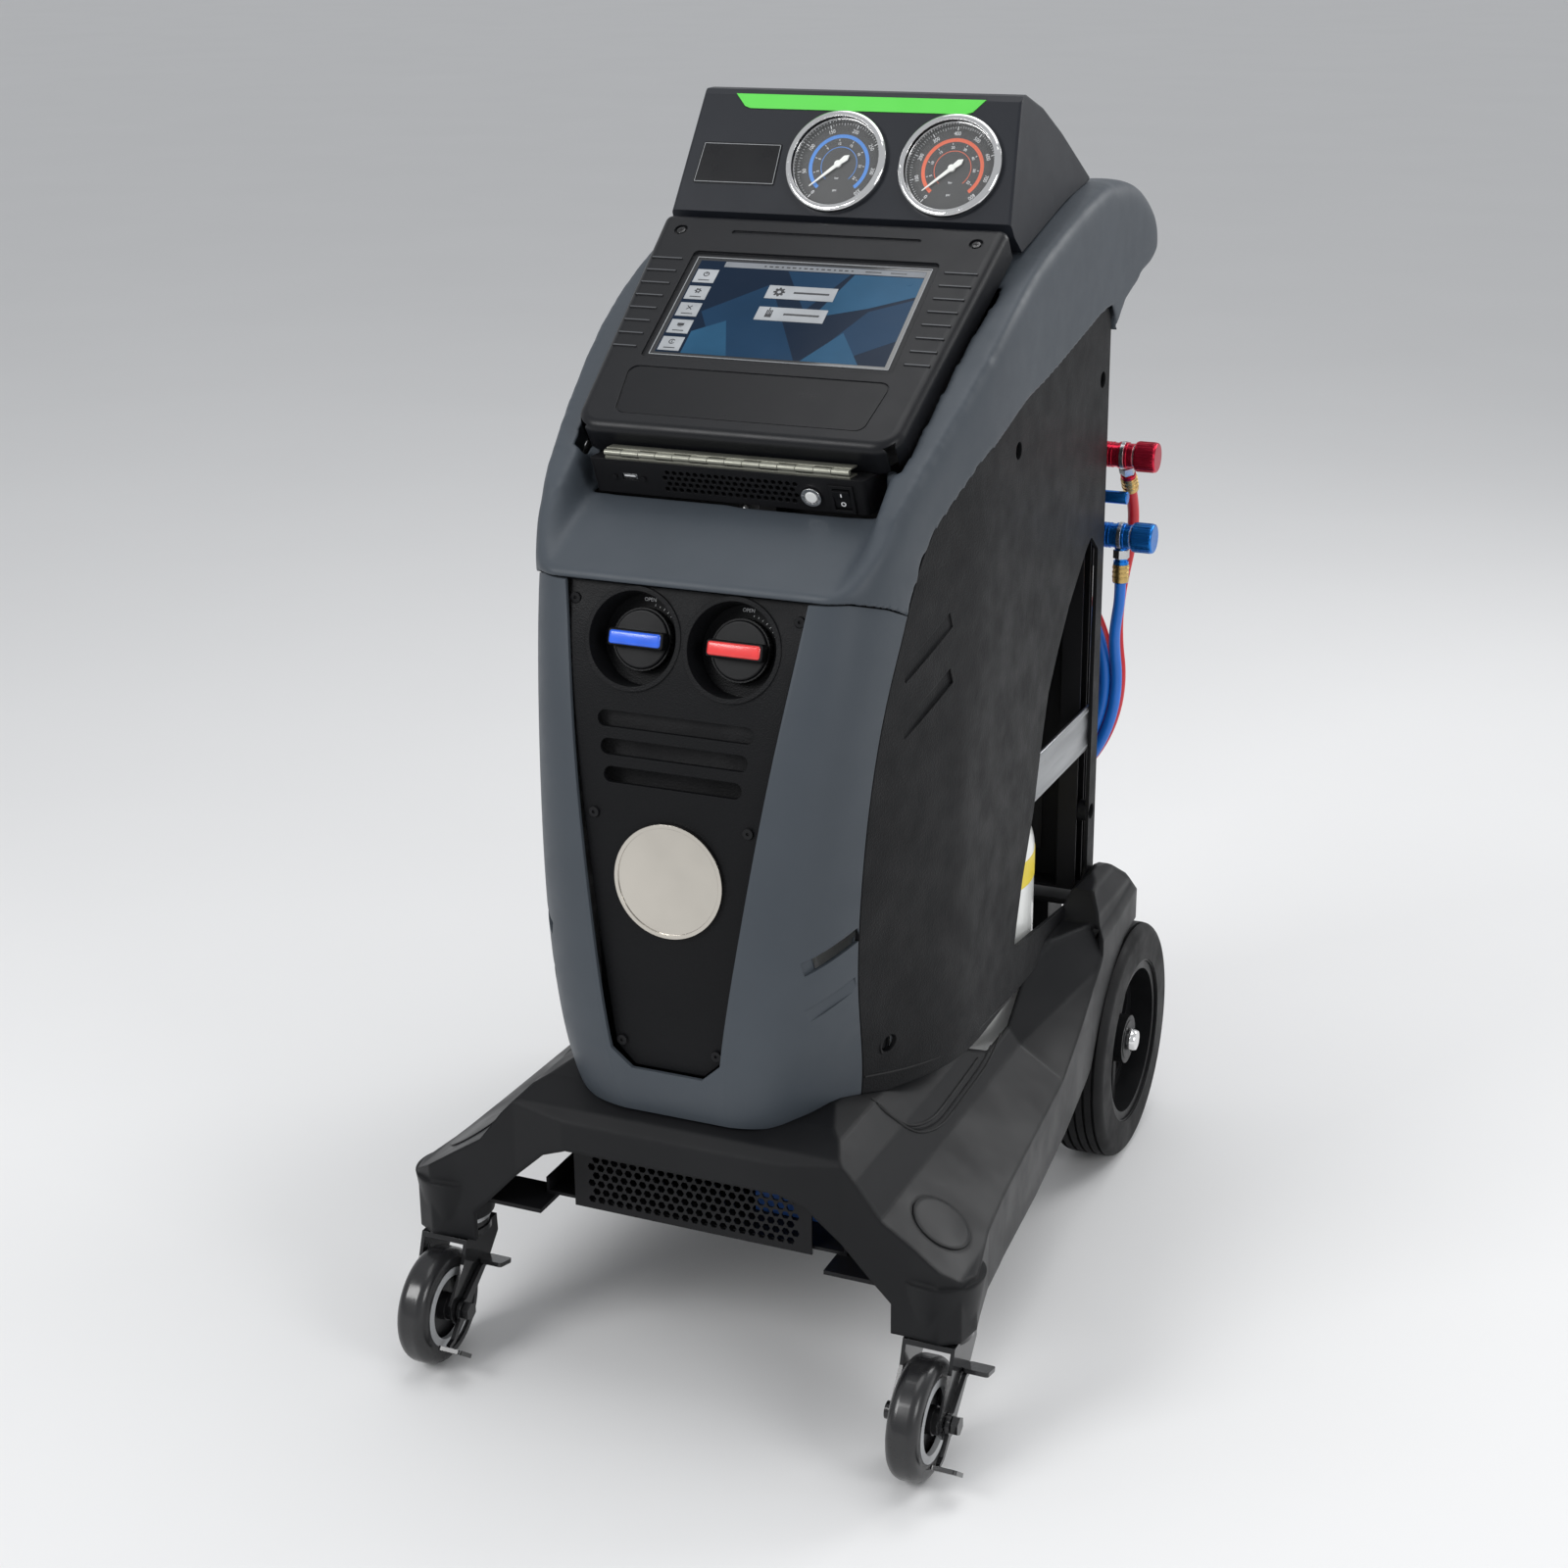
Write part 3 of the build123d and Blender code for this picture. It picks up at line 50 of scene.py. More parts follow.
def local(origin, zd, xd=(1, 0, 0)):
    """matrix from a leaning face's own millimetres to the scene's metres."""
    z = Vector(zd).normalized()
    x = Vector(xd).normalized()
    y = z.cross(x).normalized()
    x = y.cross(z).normalized()
    o = P(*origin)
    k = 1e-3
    return Matrix(
        (
            (x.x * k, y.x * k, z.x * k, o.x),
            (x.y * k, y.y * k, z.y * k, o.y),
            (x.z * k, y.z * k, z.z * k, o.z),
            (0, 0, 0, 1),
        )
    )


def rad(d):
    return math.radians(d)


BEZ = local((0, -306.2, 984.9), (0, -math.sin(rad(33.1)), math.cos(rad(33.1))))
GAU = local((0, -250.2, 1017.2), (0, -math.cos(rad(28.2)), math.sin(rad(28.2))))
FRB = local((0, -496.5, 821.75), (0, -32.5, -15.0))
WORLD = local((0, 0, 0), (0, 0, 1))
KN = (0, -math.cos(rad(17)), math.sin(rad(17)))


def knob_frame(x):
    c = Vector((x, -591.4, 707.9)) - Vector(KN) * 27.0
    return local(tuple(c), KN)


# ---------------------------------------------------------------------------
# Materials
# ---------------------------------------------------------------------------
def material(
    name,
    base,
    rough,
    metal=0.0,
    tint=0.12,
    tint_scale=9.0,
    rough_var=0.08,
    rough_scale=35.0,
    grain=0.0,
    grain_scale=1400.0,
    grain_kind="noise",
    soft=0.0,
    coat=0.0,
    glow=0.0,
    clear=0.0,
    alpha=1.0,
    edge=0.0006,
    dust=0.0,
    stretch=None,
    spec=0.5,
):
    m = bpy.data.materials.new(name)
    m.use_nodes = True
    nt = m.node_tree
    nt.nodes.clear()
    out = nt.nodes.new("ShaderNodeOutputMaterial")
    b = nt.nodes.new("ShaderNodeBsdfPrincipled")
    nt.links.new(b.outputs["BSDF"], out.inputs["Surface"])
    co = nt.nodes.new("ShaderNodeTexCoord")
    where = co.outputs["Object"]
    if stretch:
        mp = nt.nodes.new("ShaderNodeMapping")
        mp.inputs["Scale"].default_value = stretch
        nt.links.new(where, mp.inputs["Vector"])
        where = mp.outputs["Vector"]
    n1 = nt.nodes.new("ShaderNodeTexNoise")
    n1.inputs["Scale"].default_value = tint_scale
    n1.inputs["Detail"].default_value = 5.0
    nt.links.new(where, n1.inputs["Vector"])
    ramp = nt.nodes.new("ShaderNodeValToRGB")
    lo = [max(0.0, c * (1 - tint)) for c in base] + [1.0]
    hi = [min(1.0, c * (1 + tint) + dust * 0.03) for c in base] + [1.0]
    ramp.color_ramp.elements[0].position = 0.3
    ramp.color_ramp.elements[1].position = 0.72
    ramp.color_ramp.elements[0].color = lo
    ramp.color_ramp.elements[1].color = hi
    nt.links.new(n1.outputs["Fac"], ramp.inputs["Fac"])
    nt.links.new(ramp.outputs["Color"], b.inputs["Base Color"])
    n2 = nt.nodes.new("ShaderNodeTexNoise")
    n2.inputs["Scale"].default_value = rough_scale
    n2.inputs["Detail"].default_value = 4.0
    nt.links.new(where, n2.inputs["Vector"])
    rr = nt.nodes.new("ShaderNodeMapRange")
    rr.inputs["From Min"].default_value = 0.3
    rr.inputs["From Max"].default_value = 0.7
    rr.inputs["To Min"].default_value = max(0.02, rough - rough_var)
    rr.inputs["To Max"].default_value = min(1.0, rough + rough_var)
    nt.links.new(n2.outputs["Fac"], rr.inputs["Value"])
    nt.links.new(rr.outputs["Result"], b.inputs["Roughness"])
    last = None
    if edge:
        bv = nt.nodes.new("ShaderNodeBevel")
        bv.samples = 4
        bv.inputs["Radius"].default_value = edge
        last = bv.outputs["Normal"]
    if soft:
        n4 = nt.nodes.new("ShaderNodeTexNoise")
        n4.inputs["Scale"].default_value = 14.0
        n4.inputs["Detail"].default_value = 2.0
        nt.links.new(where, n4.inputs["Vector"])
        bu = nt.nodes.new("ShaderNodeBump")
        bu.inputs["Strength"].default_value = soft
        bu.inputs["Distance"].default_value = 0.002
        nt.links.new(n4.outputs["Fac"], bu.inputs["Height"])
        if last is not None:
            nt.links.new(last, bu.inputs["Normal"])
        last = bu.outputs["Normal"]
    if grain:
        if grain_kind == "cells":
            g = nt.nodes.new("ShaderNodeTexVoronoi")
            g.inputs["Scale"].default_value = grain_scale
            height = g.outputs["Distance"]
        else:
            g = nt.nodes.new("ShaderNodeTexNoise")
            g.inputs["Scale"].default_value = grain_scale
            g.inputs["Detail"].default_value = 3.0
            height = g.outputs["Fac"]
        nt.links.new(where, g.inputs["Vector"])
        bu = nt.nodes.new("ShaderNodeBump")
        bu.inputs["Strength"].default_value = grain
        bu.inputs["Distance"].default_value = 0.0004
        nt.links.new(height, bu.inputs["Height"])
        if last is not None:
            nt.links.new(last, bu.inputs["Normal"])
        last = bu.outputs["Normal"]
    if last is not None:
        nt.links.new(last, b.inputs["Normal"])
    b.inputs["Metallic"].default_value = metal
    b.inputs["Specular IOR Level"].default_value = spec
    b.inputs["Coat Weight"].default_value = coat
    b.inputs["Coat Roughness"].default_value = 0.06
    b.inputs["Transmission Weight"].default_value = clear
    b.inputs["Alpha"].default_value = alpha
    if glow:
        nt.links.new(ramp.outputs["Color"], b.inputs["Emission Color"])
        b.inputs["Emission Strength"].default_value = glow
    m.diffuse_color = (*base, 1.0)
    return m


M = {
    "grey": material("slate_grey", (0.050, 0.060, 0.072), 0.46, spec=0.3, grain=0.28, grain_scale=1500, tint=0.05, rough_var=0.05, dust=0.1, edge=0.0012),
    "dark": material("dark_slate", (0.013, 0.015, 0.020), 0.44, spec=0.25, grain=0.22, grain_scale=1600, tint=0.08, rough_var=0.05, edge=0.0012),
    "bezel": material("console_black", (0.0070, 0.0075, 0.0092), 0.36, spec=0.25, grain=0.10, grain_scale=1700, tint=0.08, rough_var=0.05, edge=0.001),
    # ridge colour is lighter than the console black: painted highlight on the ridges
    "ridge": material("ridge_painted_highlight", (0.060, 0.064, 0.070), 0.40, tint=0.05, rough_var=0.04, edge=0),
    "pad": material("pad_black", (0.0065, 0.0068, 0.0082), 0.30, spec=0.22, grain=0.03, grain_scale=900, tint=0.05, rough_var=0.03),
    "side": material("side_texture", (0.0060, 0.0062, 0.0070), 0.52, spec=0.14, grain=0.65, grain_scale=620, grain_kind="cells", tint=0.12, rough_var=0.07, edge=0.0014, dust=0.05),
    "front": material("front_texture", (0.0050, 0.0052, 0.0060), 0.48, spec=0.14, grain=0.5, grain_scale=800, grain_kind="cells", tint=0.10, rough_var=0.05, edge=0.0008),
    "base": material("base_satin", (0.0070, 0.0073, 0.0083), 0.40, spec=0.20, grain=0.14, grain_scale=1200, tint=0.14, tint_scale=6, rough_var=0.08, rough_scale=18, edge=0.006, dust=0.04),
    "black": material("satin_black", (0.0065, 0.0067, 0.0075), 0.40, spec=0.22, grain=0.10, grain_scale=1400, tint=0.1),
    # deep_black is used for a dark seam and for painted shade in slots, sockets, grooves and behind openings
    "deep": material("deep_black", (0.004, 0.004, 0.0045), 0.7, grain=0.2, grain_scale=1000, tint=0.2),
    "foam": material("grille_foam", (0.008, 0.008, 0.009), 0.85, grain=0.9, grain_scale=520, grain_kind="cells", tint=0.3),
    "powder": material("powder_black", (0.0070, 0.0070, 0.0080), 0.44, metal=0.0, spec=0.2, grain=0.35, grain_scale=1900, tint=0.1, rough_var=0.07),
    "gloss": material("gloss_black_steel", (0.010, 0.010, 0.011), 0.20, metal=0.25, grain=0.05, grain_scale=500, tint=0.15, rough_var=0.08, coat=0.4),
    "steel": material("bright_steel", (0.60, 0.61, 0.62), 0.27, metal=1.0, tint=0.12, tint_scale=30, rough_var=0.10, grain=0.06, grain_scale=900),
    "hinge": material("hinge_cream_zinc", (0.26, 0.26, 0.22), 0.40, metal=0.75, tint=0.10, tint_scale=40, rough_var=0.08, grain=0.05, grain_scale=900),
    "chrome": material("chrome", (0.80, 0.80, 0.80), 0.08, metal=1.0, tint=0.04, rough_var=0.03, edge=0.0008),
    "badge": material("polished_badge", (0.52, 0.49, 0.44), 0.13, metal=1.0, tint=0.06, tint_scale=14, rough_var=0.04, soft=0.25),
    "alu": material("brushed_plate", (0.36, 0.37, 0.38), 0.36, metal=1.0, tint=0.14, tint_scale=60, rough_var=0.10, rough_scale=90, stretch=(1.0, 0.08, 1.0)),
    "alu_dark": material("scale_plate", (0.09, 0.09, 0.095), 0.48, metal=1.0, tint=0.14, tint_scale=40, rough_var=0.08),
    "brass": material("brass", (0.60, 0.42, 0.16), 0.28, metal=1.0, tint=0.12, tint_scale=60, rough_var=0.08),
    "white": material("white_enamel", (0.78, 0.79, 0.77), 0.22, tint=0.03, rough_var=0.05, coat=0.3, grain=0.04, grain_scale=300),
    "yellow": material("yellow_patch", (0.80, 0.62, 0.02), 0.35, tint=0.06, rough_var=0.05),
    "blue_paint": material("pump_blue", (0.03, 0.10, 0.34), 0.35, tint=0.12, rough_var=0.08, grain=0.1),
    "pcb": material("board_green", (0.02, 0.14, 0.05), 0.4, tint=0.3, tint_scale=220, rough_var=0.1),
    "print": material("print_white", (0.78, 0.79, 0.80), 0.45, tint=0.03, rough_var=0.03, edge=0),
    "dim": material("print_grey", (0.30, 0.31, 0.32), 0.5, tint=0.05, rough_var=0.03, edge=0),
    "dial": material("dial_black", (0.008, 0.008, 0.009), 0.42, tint=0.1, rough_var=0.05, grain=0.05),
    "band_blue": material("band_blue", (0.03, 0.22, 0.68), 0.4, tint=0.04, rough_var=0.03, edge=0),
    "band_red": material("band_red", (0.75, 0.10, 0.02), 0.4, tint=0.04, rough_var=0.03, edge=0),
    "needle": material("needle_white", (0.85, 0.86, 0.82), 0.35, tint=0.03, rough_var=0.03, edge=0),
    "green": material("accent_green", (0.10, 0.62, 0.07), 0.32, tint=0.05, rough_var=0.04, grain=0.05),
    "grip_blue": material("grip_blue", (0.025, 0.13, 0.78), 0.22, tint=0.10, tint_scale=60, rough_var=0.05, coat=0.3, glow=0.0),
    "grip_red": material("grip_red", (0.80, 0.045, 0.045), 0.22, tint=0.10, tint_scale=60, rough_var=0.05, coat=0.3, glow=0.0),
    "tyre": material("tyre_rubber", (0.0075, 0.0075, 0.0080), 0.60, spec=0.18, tint=0.18, tint_scale=25, rough_var=0.10, grain=0.35, grain_scale=700, dust=0.2),
    "wheel_gloss": material("caster_tread", (0.011, 0.011, 0.012), 0.30, tint=0.15, rough_var=0.12, grain=0.08, grain_scale=400, coat=0.2),
    "rim_grey": material("rim_light_grey", (0.42, 0.43, 0.44), 0.38, tint=0.08, rough_var=0.06, grain=0.08),
    "hose_red": material("hose_red", (0.55, 0.012, 0.020), 0.36, tint=0.08, tint_scale=30, rough_var=0.06, grain=0.10, grain_scale=900, edge=0),
    "hose_blue": material("hose_blue", (0.008, 0.155, 0.62), 0.36, tint=0.08, tint_scale=30, rough_var=0.06, grain=0.10, grain_scale=900, edge=0),
    "ano_red": material("anodised_red", (0.62, 0.020, 0.055), 0.24, metal=0.85, tint=0.10, tint_scale=70, rough_var=0.06),
    "ano_blue": material("anodised_blue", (0.015, 0.20, 0.66), 0.24, metal=0.85, tint=0.10, tint_scale=70, rough_var=0.06),
    "ui_back": material("ui_back", (0.003, 0.008, 0.018), 0.14, tint=0.15, tint_scale=6, rough_var=0.02, spec=0.10, glow=0.8, edge=0),
    "ui_mid": material("ui_mid", (0.006, 0.022, 0.048), 0.14, tint=0.15, tint_scale=9, rough_var=0.02, spec=0.10, glow=0.8, edge=0),
    "ui_light": material("ui_light", (0.012, 0.046, 0.088), 0.14, tint=0.2, tint_scale=12, rough_var=0.02, spec=0.10, glow=0.8, edge=0),
    "ui_bar": material("ui_bar", (0.16, 0.17, 0.185), 0.16, tint=0.15, tint_scale=30, rough_var=0.02, spec=0.15, glow=0.2, edge=0),
    "ui_button": material("ui_button", (0.30, 0.315, 0.33), 0.18, tint=0.14, tint_scale=24, rough_var=0.02, spec=0.15, glow=0.15, edge=0),
    "ui_ink": material("ui_ink", (0.020, 0.022, 0.026), 0.2, tint=0.1, rough_var=0.02, coat=0.3, edge=0),
    "glass_black": material("screen_glass", (0.006, 0.007, 0.009), 0.06, tint=0.1, rough_var=0.02, coat=0.8, edge=0.0005),
    "usb": material("usb_white", (0.70, 0.71, 0.72), 0.3, tint=0.04, rough_var=0.04),
    "button": material("button_white", (0.82, 0.83, 0.82), 0.24, tint=0.02, rough_var=0.03, coat=0.3),
}

# clear window of each gauge
lens = material("gauge_lens", (0.95, 0.97, 0.97), 0.03, tint=0.01, rough_var=0.01, edge=0, clear=0.0, alpha=0.035, spec=0.5)
M["lens"] = lens

PAINT = {
    "hood": "grey", "front_frame": "grey", "side_panel_left": "side", "side_panel_right": "side",
    "front_panel": "front", "badge_disc": "badge", "panel_screws": "powder", "knob_low": "black", "knob_high": "black",
    "valve_manifold": "brass", "scale_platform": "alu_dark", "refrigerant_tank": "white", "compressor": "powder",
    "vacuum_pump": "blue_paint", "filter_drier": "white", "fan_frame": "black", "circuit_board": "pcb",
    "console_bezel": "bezel", "touch_screen": "glass_black", "control_box": "powder", "switch_bezels": "black",
    "power_button": "button", "rocker_switch": "black", "hinge_leaf_lower": "hinge", "hinge_leaf_upper": "hinge",
    "gauge_housing": "dark", "accent_strip": "green", "gauge_cases": "chrome", "gauge_dials": "dial",
    "gauge_lenses": "lens", "gauge_needle_low": "needle", "gauge_needle_high": "needle", "base_cover": "base",
    "leg_caps": "base", "base_grille": "powder", "chassis_tray": "powder", "rear_frame": "powder",
    "back_panel": "powder", "rear_axle": "steel", "rear_tyre_left": "tyre", "rear_tyre_right": "tyre",
    "rear_rim_left": "black", "rear_rim_right": "black", "axle_caps": "chrome", "caster_mounts": "steel",
    "caster_fork_left": "gloss", "caster_fork_right": "gloss", "caster_wheel_left": "wheel_gloss",
    "caster_wheel_right": "wheel_gloss", "brake_lever_left": "gloss", "brake_lever_right": "gloss",
    "mains_inlet": "black", "hose_hook": "powder", "parking_bracket": "powder",
    "hose_coil_red": "hose_red", "hose_coil_blue": "hose_blue", "hose_red": "hose_red", "hose_blue": "hose_blue",
    "coupler_red": "ano_red", "coupler_blue": "ano_blue",
}
for name, o in NODE.items():
    o.data.materials.clear()
    o.data.materials.append(M[PAINT[name]])


# ---------------------------------------------------------------------------
# Mesh helpers
# ---------------------------------------------------------------------------
def finish_mesh(name, bm, mat, body, smooth=35.0):
    me = bpy.data.meshes.new(name)
    bm.normal_update()
    bm.to_mesh(me)
    bm.free()
    o = bpy.data.objects.new(name, me)
    bpy.context.scene.collection.objects.link(o)
    me.materials.append(M[mat] if isinstance(mat, str) else mat)
    if smooth:
        me.shade_smooth()
        me.set_sharp_from_angle(angle=rad(smooth))
    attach(o, body)
    return o


def put(bm, verts, mtx):
    for v in verts:
        v.co = mtx @ v.co


def block(bm, mtx, c, size, r=0.0, seg=3, rot=0.0):
    """a box with rounded edges, in the face's own millimetres."""
    t = bmesh.new()
    bmesh.ops.create_cube(t, size=1.0)
    for v in t.verts:
        v.co = Vector((v.co.x * size[0], v.co.y * size[1], v.co.z * size[2]))
    if r:
        bmesh.ops.bevel(t, geom=t.edges[:], offset=r, segments=seg, affect="EDGES", profile=0.5)
    turn = Matrix.Translation(Vector(c)) @ Matrix.Rotation(rot, 4, "Z")
    for v in t.verts:
        v.co = mtx @ (turn @ v.co)
    merge(bm, t)


def merge(bm, t):
    me = bpy.data.meshes.new("tmp")
    t.to_mesh(me)
    t.free()
    bm.from_mesh(me)
    bpy.data.meshes.remove(me)


def disc(bm, mtx, c, r, h, seg=48, r2=None, bevel=0.0):
    t = bmesh.new()
    bmesh.ops.create_cone(t, cap_ends=True, segments=seg, radius1=r, radius2=r if r2 is None else r2, depth=h)
    if bevel:
        edges = [e for e in t.edges if abs(e.verts[0].co.z - e.verts[1].co.z) < 1e-6 and e.verts[0].co.z > 0]
        bmesh.ops.bevel(t, geom=edges, offset=bevel, segments=4, affect="EDGES", profile=0.5)
    for v in t.verts:
        v.co = mtx @ (v.co + Vector(c))
    merge(bm, t)


def flat(bm, mtx, pts, z0, z1):
    """an outline of (x, y) points with some thickness."""
    n = len(pts)
    lo = [bm.verts.new(mtx @ Vector((x, y, z0))) for x, y in pts]
    hi = [bm.verts.new(mtx @ Vector((x, y, z1))) for x, y in pts]
    bm.faces.new(hi)
    bm.faces.new(list(reversed(lo)))
    for i in range(n):
        bm.faces.new((lo[i], lo[(i + 1) % n], hi[(i + 1) % n], hi[i]))


def annulus(bm, mtx, cx, cy, r0, r1, a0, a1, z0, z1, n=64):
    inner = [(cx + r0 * math.cos(rad(a0 + (a1 - a0) * i / n)), cy + r0 * math.sin(rad(a0 + (a1 - a0) * i / n))) for i in range(n + 1)]
    outer = [(cx + r1 * math.cos(rad(a0 + (a1 - a0) * i / n)), cy + r1 * math.sin(rad(a0 + (a1 - a0) * i / n))) for i in range(n + 1)]
    for i in range(n):
        q = [inner[i], outer[i], outer[i + 1], inner[i + 1]]
        if a1 < a0:
            q.reverse()
        v0 = [bm.verts.new(mtx @ Vector((x, y, z0))) for x, y in q]
        v1 = [bm.verts.new(mtx @ Vector((x, y, z1))) for x, y in q]
        bm.faces.new(v1)
        bm.faces.new(list(reversed(v0)))
        for k in range(4):
            bm.faces.new((v0[k], v0[(k + 1) % 4], v1[(k + 1) % 4], v1[k]))


def letters(bm, mtx, text, size, x, y, z, turn=0.0, depth=0.05, width=1.0):
    cu = bpy.data.curves.new("letters", "FONT")
    cu.body = text
    cu.size = size
    cu.align_x = "CENTER"
    cu.align_y = "CENTER"
    cu.extrude = depth
    cu.resolution_u = 3
    o = bpy.data.objects.new("letters", cu)
    bpy.context.scene.collection.objects.link(o)
    dg = bpy.context.evaluated_depsgraph_get()
    me = bpy.data.meshes.new_from_object(o.evaluated_get(dg))
    tr = Matrix.Translation(Vector((x, y, z))) @ Matrix.Rotation(turn, 4, "Z") @ Matrix.Diagonal(Vector((width, 1, 1, 1)))
    me.transform(tr)
    me.transform(mtx)
    bm.from_mesh(me)
    bpy.data.meshes.remove(me)
    bpy.data.objects.remove(o)
    bpy.data.curves.remove(cu)


# ---------------------------------------------------------------------------
# Camera
# ---------------------------------------------------------------------------
TH, PS, RO = 0.345497, 0.413105, -0.009906
cX = (math.cos(PS), math.sin(PS) * math.sin(TH), -math.sin(PS) * math.cos(TH))
cY = (math.sin(PS), -math.cos(PS) * math.sin(TH), math.cos(PS) * math.cos(TH))
cZ = (0.0, -math.cos(TH), -math.sin(TH))
Mw = np.array([cX, cY, cZ]).T
Rr = np.array([[math.cos(RO), -math.sin(RO), 0], [math.sin(RO), math.cos(RO), 0], [0, 0, 1]])
Mw = Rr @ Mw
cam_data = bpy.data.cameras.new("camera")
cam = bpy.data.objects.new("camera", cam_data)
bpy.context.scene.collection.objects.link(cam)
cam_data.sensor_width = 36.0
cam_data.lens = 2602.35 / 1600 * 36.0
R3 = Matrix(((Mw[0][0], -Mw[1][0], -Mw[2][0]), (Mw[0][1], -Mw[1][1], -Mw[2][1]), (Mw[0][2], -Mw[1][2], -Mw[2][2])))
cam.matrix_world = Matrix.Translation(P(895.081, -2424.252, 1317.039)) @ R3.to_4x4()
cam_data.clip_start, cam_data.clip_end = 0.05, 60.0
bpy.context.scene.camera = cam

# ---------------------------------------------------------------------------
# Refined moulding: the hood shell remeshed with rounded shoulders and blends
# ---------------------------------------------------------------------------
HOOD_TOP = [(-585, 749), (-578, 763), (-556, 783), (-522, 815), (-478, 848), (-420, 887), (-361, 925), (-300, 957), (-250, 978), (-180, 998), (-90, 1018), (-10, 1029), (50, 1025), (104, 1008), (138, 986)]


def remeshed(node, voxel):
    src = NODE[node]
    me = src.data.copy()
    o = bpy.data.objects.new("work", me)
    bpy.context.scene.collection.objects.link(o)
    bm = bmesh.new()
    bm.from_mesh(me)
    bmesh.ops.remove_doubles(bm, verts=bm.verts[:], dist=1e-6)
    bm.to_mesh(me)
    bm.free()
    mod = o.modifiers.new("voxels", "REMESH")
    mod.mode = "VOXEL"
    mod.voxel_size = voxel
    dg = bpy.context.evaluated_depsgraph_get()
    out = bpy.data.meshes.new_from_object(o.evaluated_get(dg))
    bpy.data.objects.remove(o)
    return out


def relax(me, weight, rounds, lam=0.5):
    n = len(me.vertices)
    co = np.zeros(n * 3)
    me.vertices.foreach_get("co", co)
    co = co.reshape(-1, 3)
    nr = np.zeros(n * 3)
    me.vertices.foreach_get("normal", nr)
    nr = nr.reshape(-1, 3)
    ed = np.zeros(len(me.edges) * 2, dtype=np.int64)
    me.edges.foreach_get("vertices", ed)
    ed = ed.reshape(-1, 2)
    a = np.concatenate([ed[:, 0], ed[:, 1]])
    b = np.concatenate([ed[:, 1], ed[:, 0]])
    deg = np.bincount(a, minlength=n).astype(float)
    deg[deg == 0] = 1
    mm = co * 1000.0
    mm[:, 1] -= SHIFT
    w = (weight(mm, nr) * lam)[:, None]
    for _ in range(rounds):
        avg = np.stack([np.bincount(a, weights=co[b, k], minlength=n) for k in range(3)], axis=1) / deg[:, None]
        co = co + w * (avg - co)
    me.vertices.foreach_set("co", co.astype(np.float32).ravel())
    me.update()


def step(x, a, b):
    t = np.clip((x - a) / (b - a), 0, 1)
    return t * t * (3 - 2 * t)


def near(points, chosen):
    """distance in millimetres from each point to the nearest chosen one."""
    idx = np.nonzero(chosen)[0]
    idx = idx[:: max(1, len(idx) // 6000)]
    kd = kdtree.KDTree(len(idx))
    for i, k in enumerate(idx):
        kd.insert(points[k], i)
    kd.balance()
    return np.array([kd.find(p)[2] for p in points])


def hood_weight(mm, nr):
    top = np.interp(mm[:, 1], [p[0] for p in HOOD_TOP], [p[1] for p in HOOD_TOP])
    d = np.hypot(np.abs(mm[:, 0]) - 193.0, mm[:, 2] - top)
    w = 0.05 + 0.95 * (1 - step(d, 26, 48)) * step(mm[:, 1], -575, -520)
    tray = (1 - step(mm[:, 1], -500, -470)) * step(mm[:, 2], 756, 770) * (1 - step(np.abs(mm[:, 0]), 165, 185))
    w = np.maximum(w, 0.7 * tray)
    bar = step(mm[:, 1], 60, 90) * 0.35
    w = np.maximum(w, bar)
    rim = nr[:, 2] < -0.75
    seam = step(near(mm, rim & (mm[:, 1] < 0)), 2, 12)
    return w * (0.04 + 0.96 * np.maximum(seam, step(mm[:, 1], 0, 20)))


def base_weight(mm, nr):
    rim = nr[:, 2] < -0.8
    pin = step(near(mm, rim), 2, 14)
    deck = 1 - 0.9 * ((np.abs(mm[:, 0]) < 150) & (mm[:, 1] > -600)) * (mm[:, 2] > 270)
    return (0.03 + 0.97 * pin) * 0.6 * deck


def shell(node, name, voxel, weight, rounds, mat, body):
    me = remeshed(node, voxel)
    relax(me, weight, rounds)
    me.materials.clear()
    me.materials.append(M[mat])
    me.shade_smooth()
    o = bpy.data.objects.new(name, me)
    bpy.context.scene.collection.objects.link(o)
    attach(o, body)
    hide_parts(node)
    return o


BODY = "chassis"
shell("hood", "hood_shell", 0.0024, hood_weight, 130, "grey", BODY)

# ---------------------------------------------------------------------------
# Console: display picture, pad, screws, ridges
# ---------------------------------------------------------------------------
ZS = -2.58
bm = bmesh.new()
flat(bm, BEZ, [(-109, -124), (109, -124), (109, -3.5), (-109, -3.5)], ZS, ZS + 0.06)
finish_mesh("display_ground", bm, "ui_back", "console", smooth=0)
bm = bmesh.new()
flat(bm, BEZ, [(-84, -70), (-30, -30), (24, -124), (-52, -124)], ZS + 0.06, ZS + 0.1)
flat(bm, BEZ, [(109, -40), (109, -92), (60, -124), (34, -124), (72, -58)], ZS + 0.06, ZS + 0.1)
flat(bm, BEZ, [(-20, -12), (40, -12), (12, -62)], ZS + 0.06, ZS + 0.1)
finish_mesh("display_facets", bm, "ui_mid", "console", smooth=0)
bm = bmesh.new()
flat(bm, BEZ, [(44, -12), (109, -12), (109, -36), (70, -54), (22, -70)], ZS + 0.1, ZS + 0.13)
flat(bm, BEZ, [(-84, -96), (-56, -80), (-40, -124), (-84, -124)], ZS + 0.1, ZS + 0.13)
flat(bm, BEZ, [(30, -124), (84, -124), (58, -86)], ZS + 0.1, ZS + 0.13)
finish_mesh("display_lights", bm, "ui_light", "console", smooth=0)
bm = bmesh.new()
flat(bm, BEZ, [(-84, -11), (109, -11), (109, -4), (-84, -4)], ZS + 0.13, ZS + 0.17)
finish_mesh("display_bar", bm, "ui_bar", "console", smooth=0)
bm = bmesh.new()
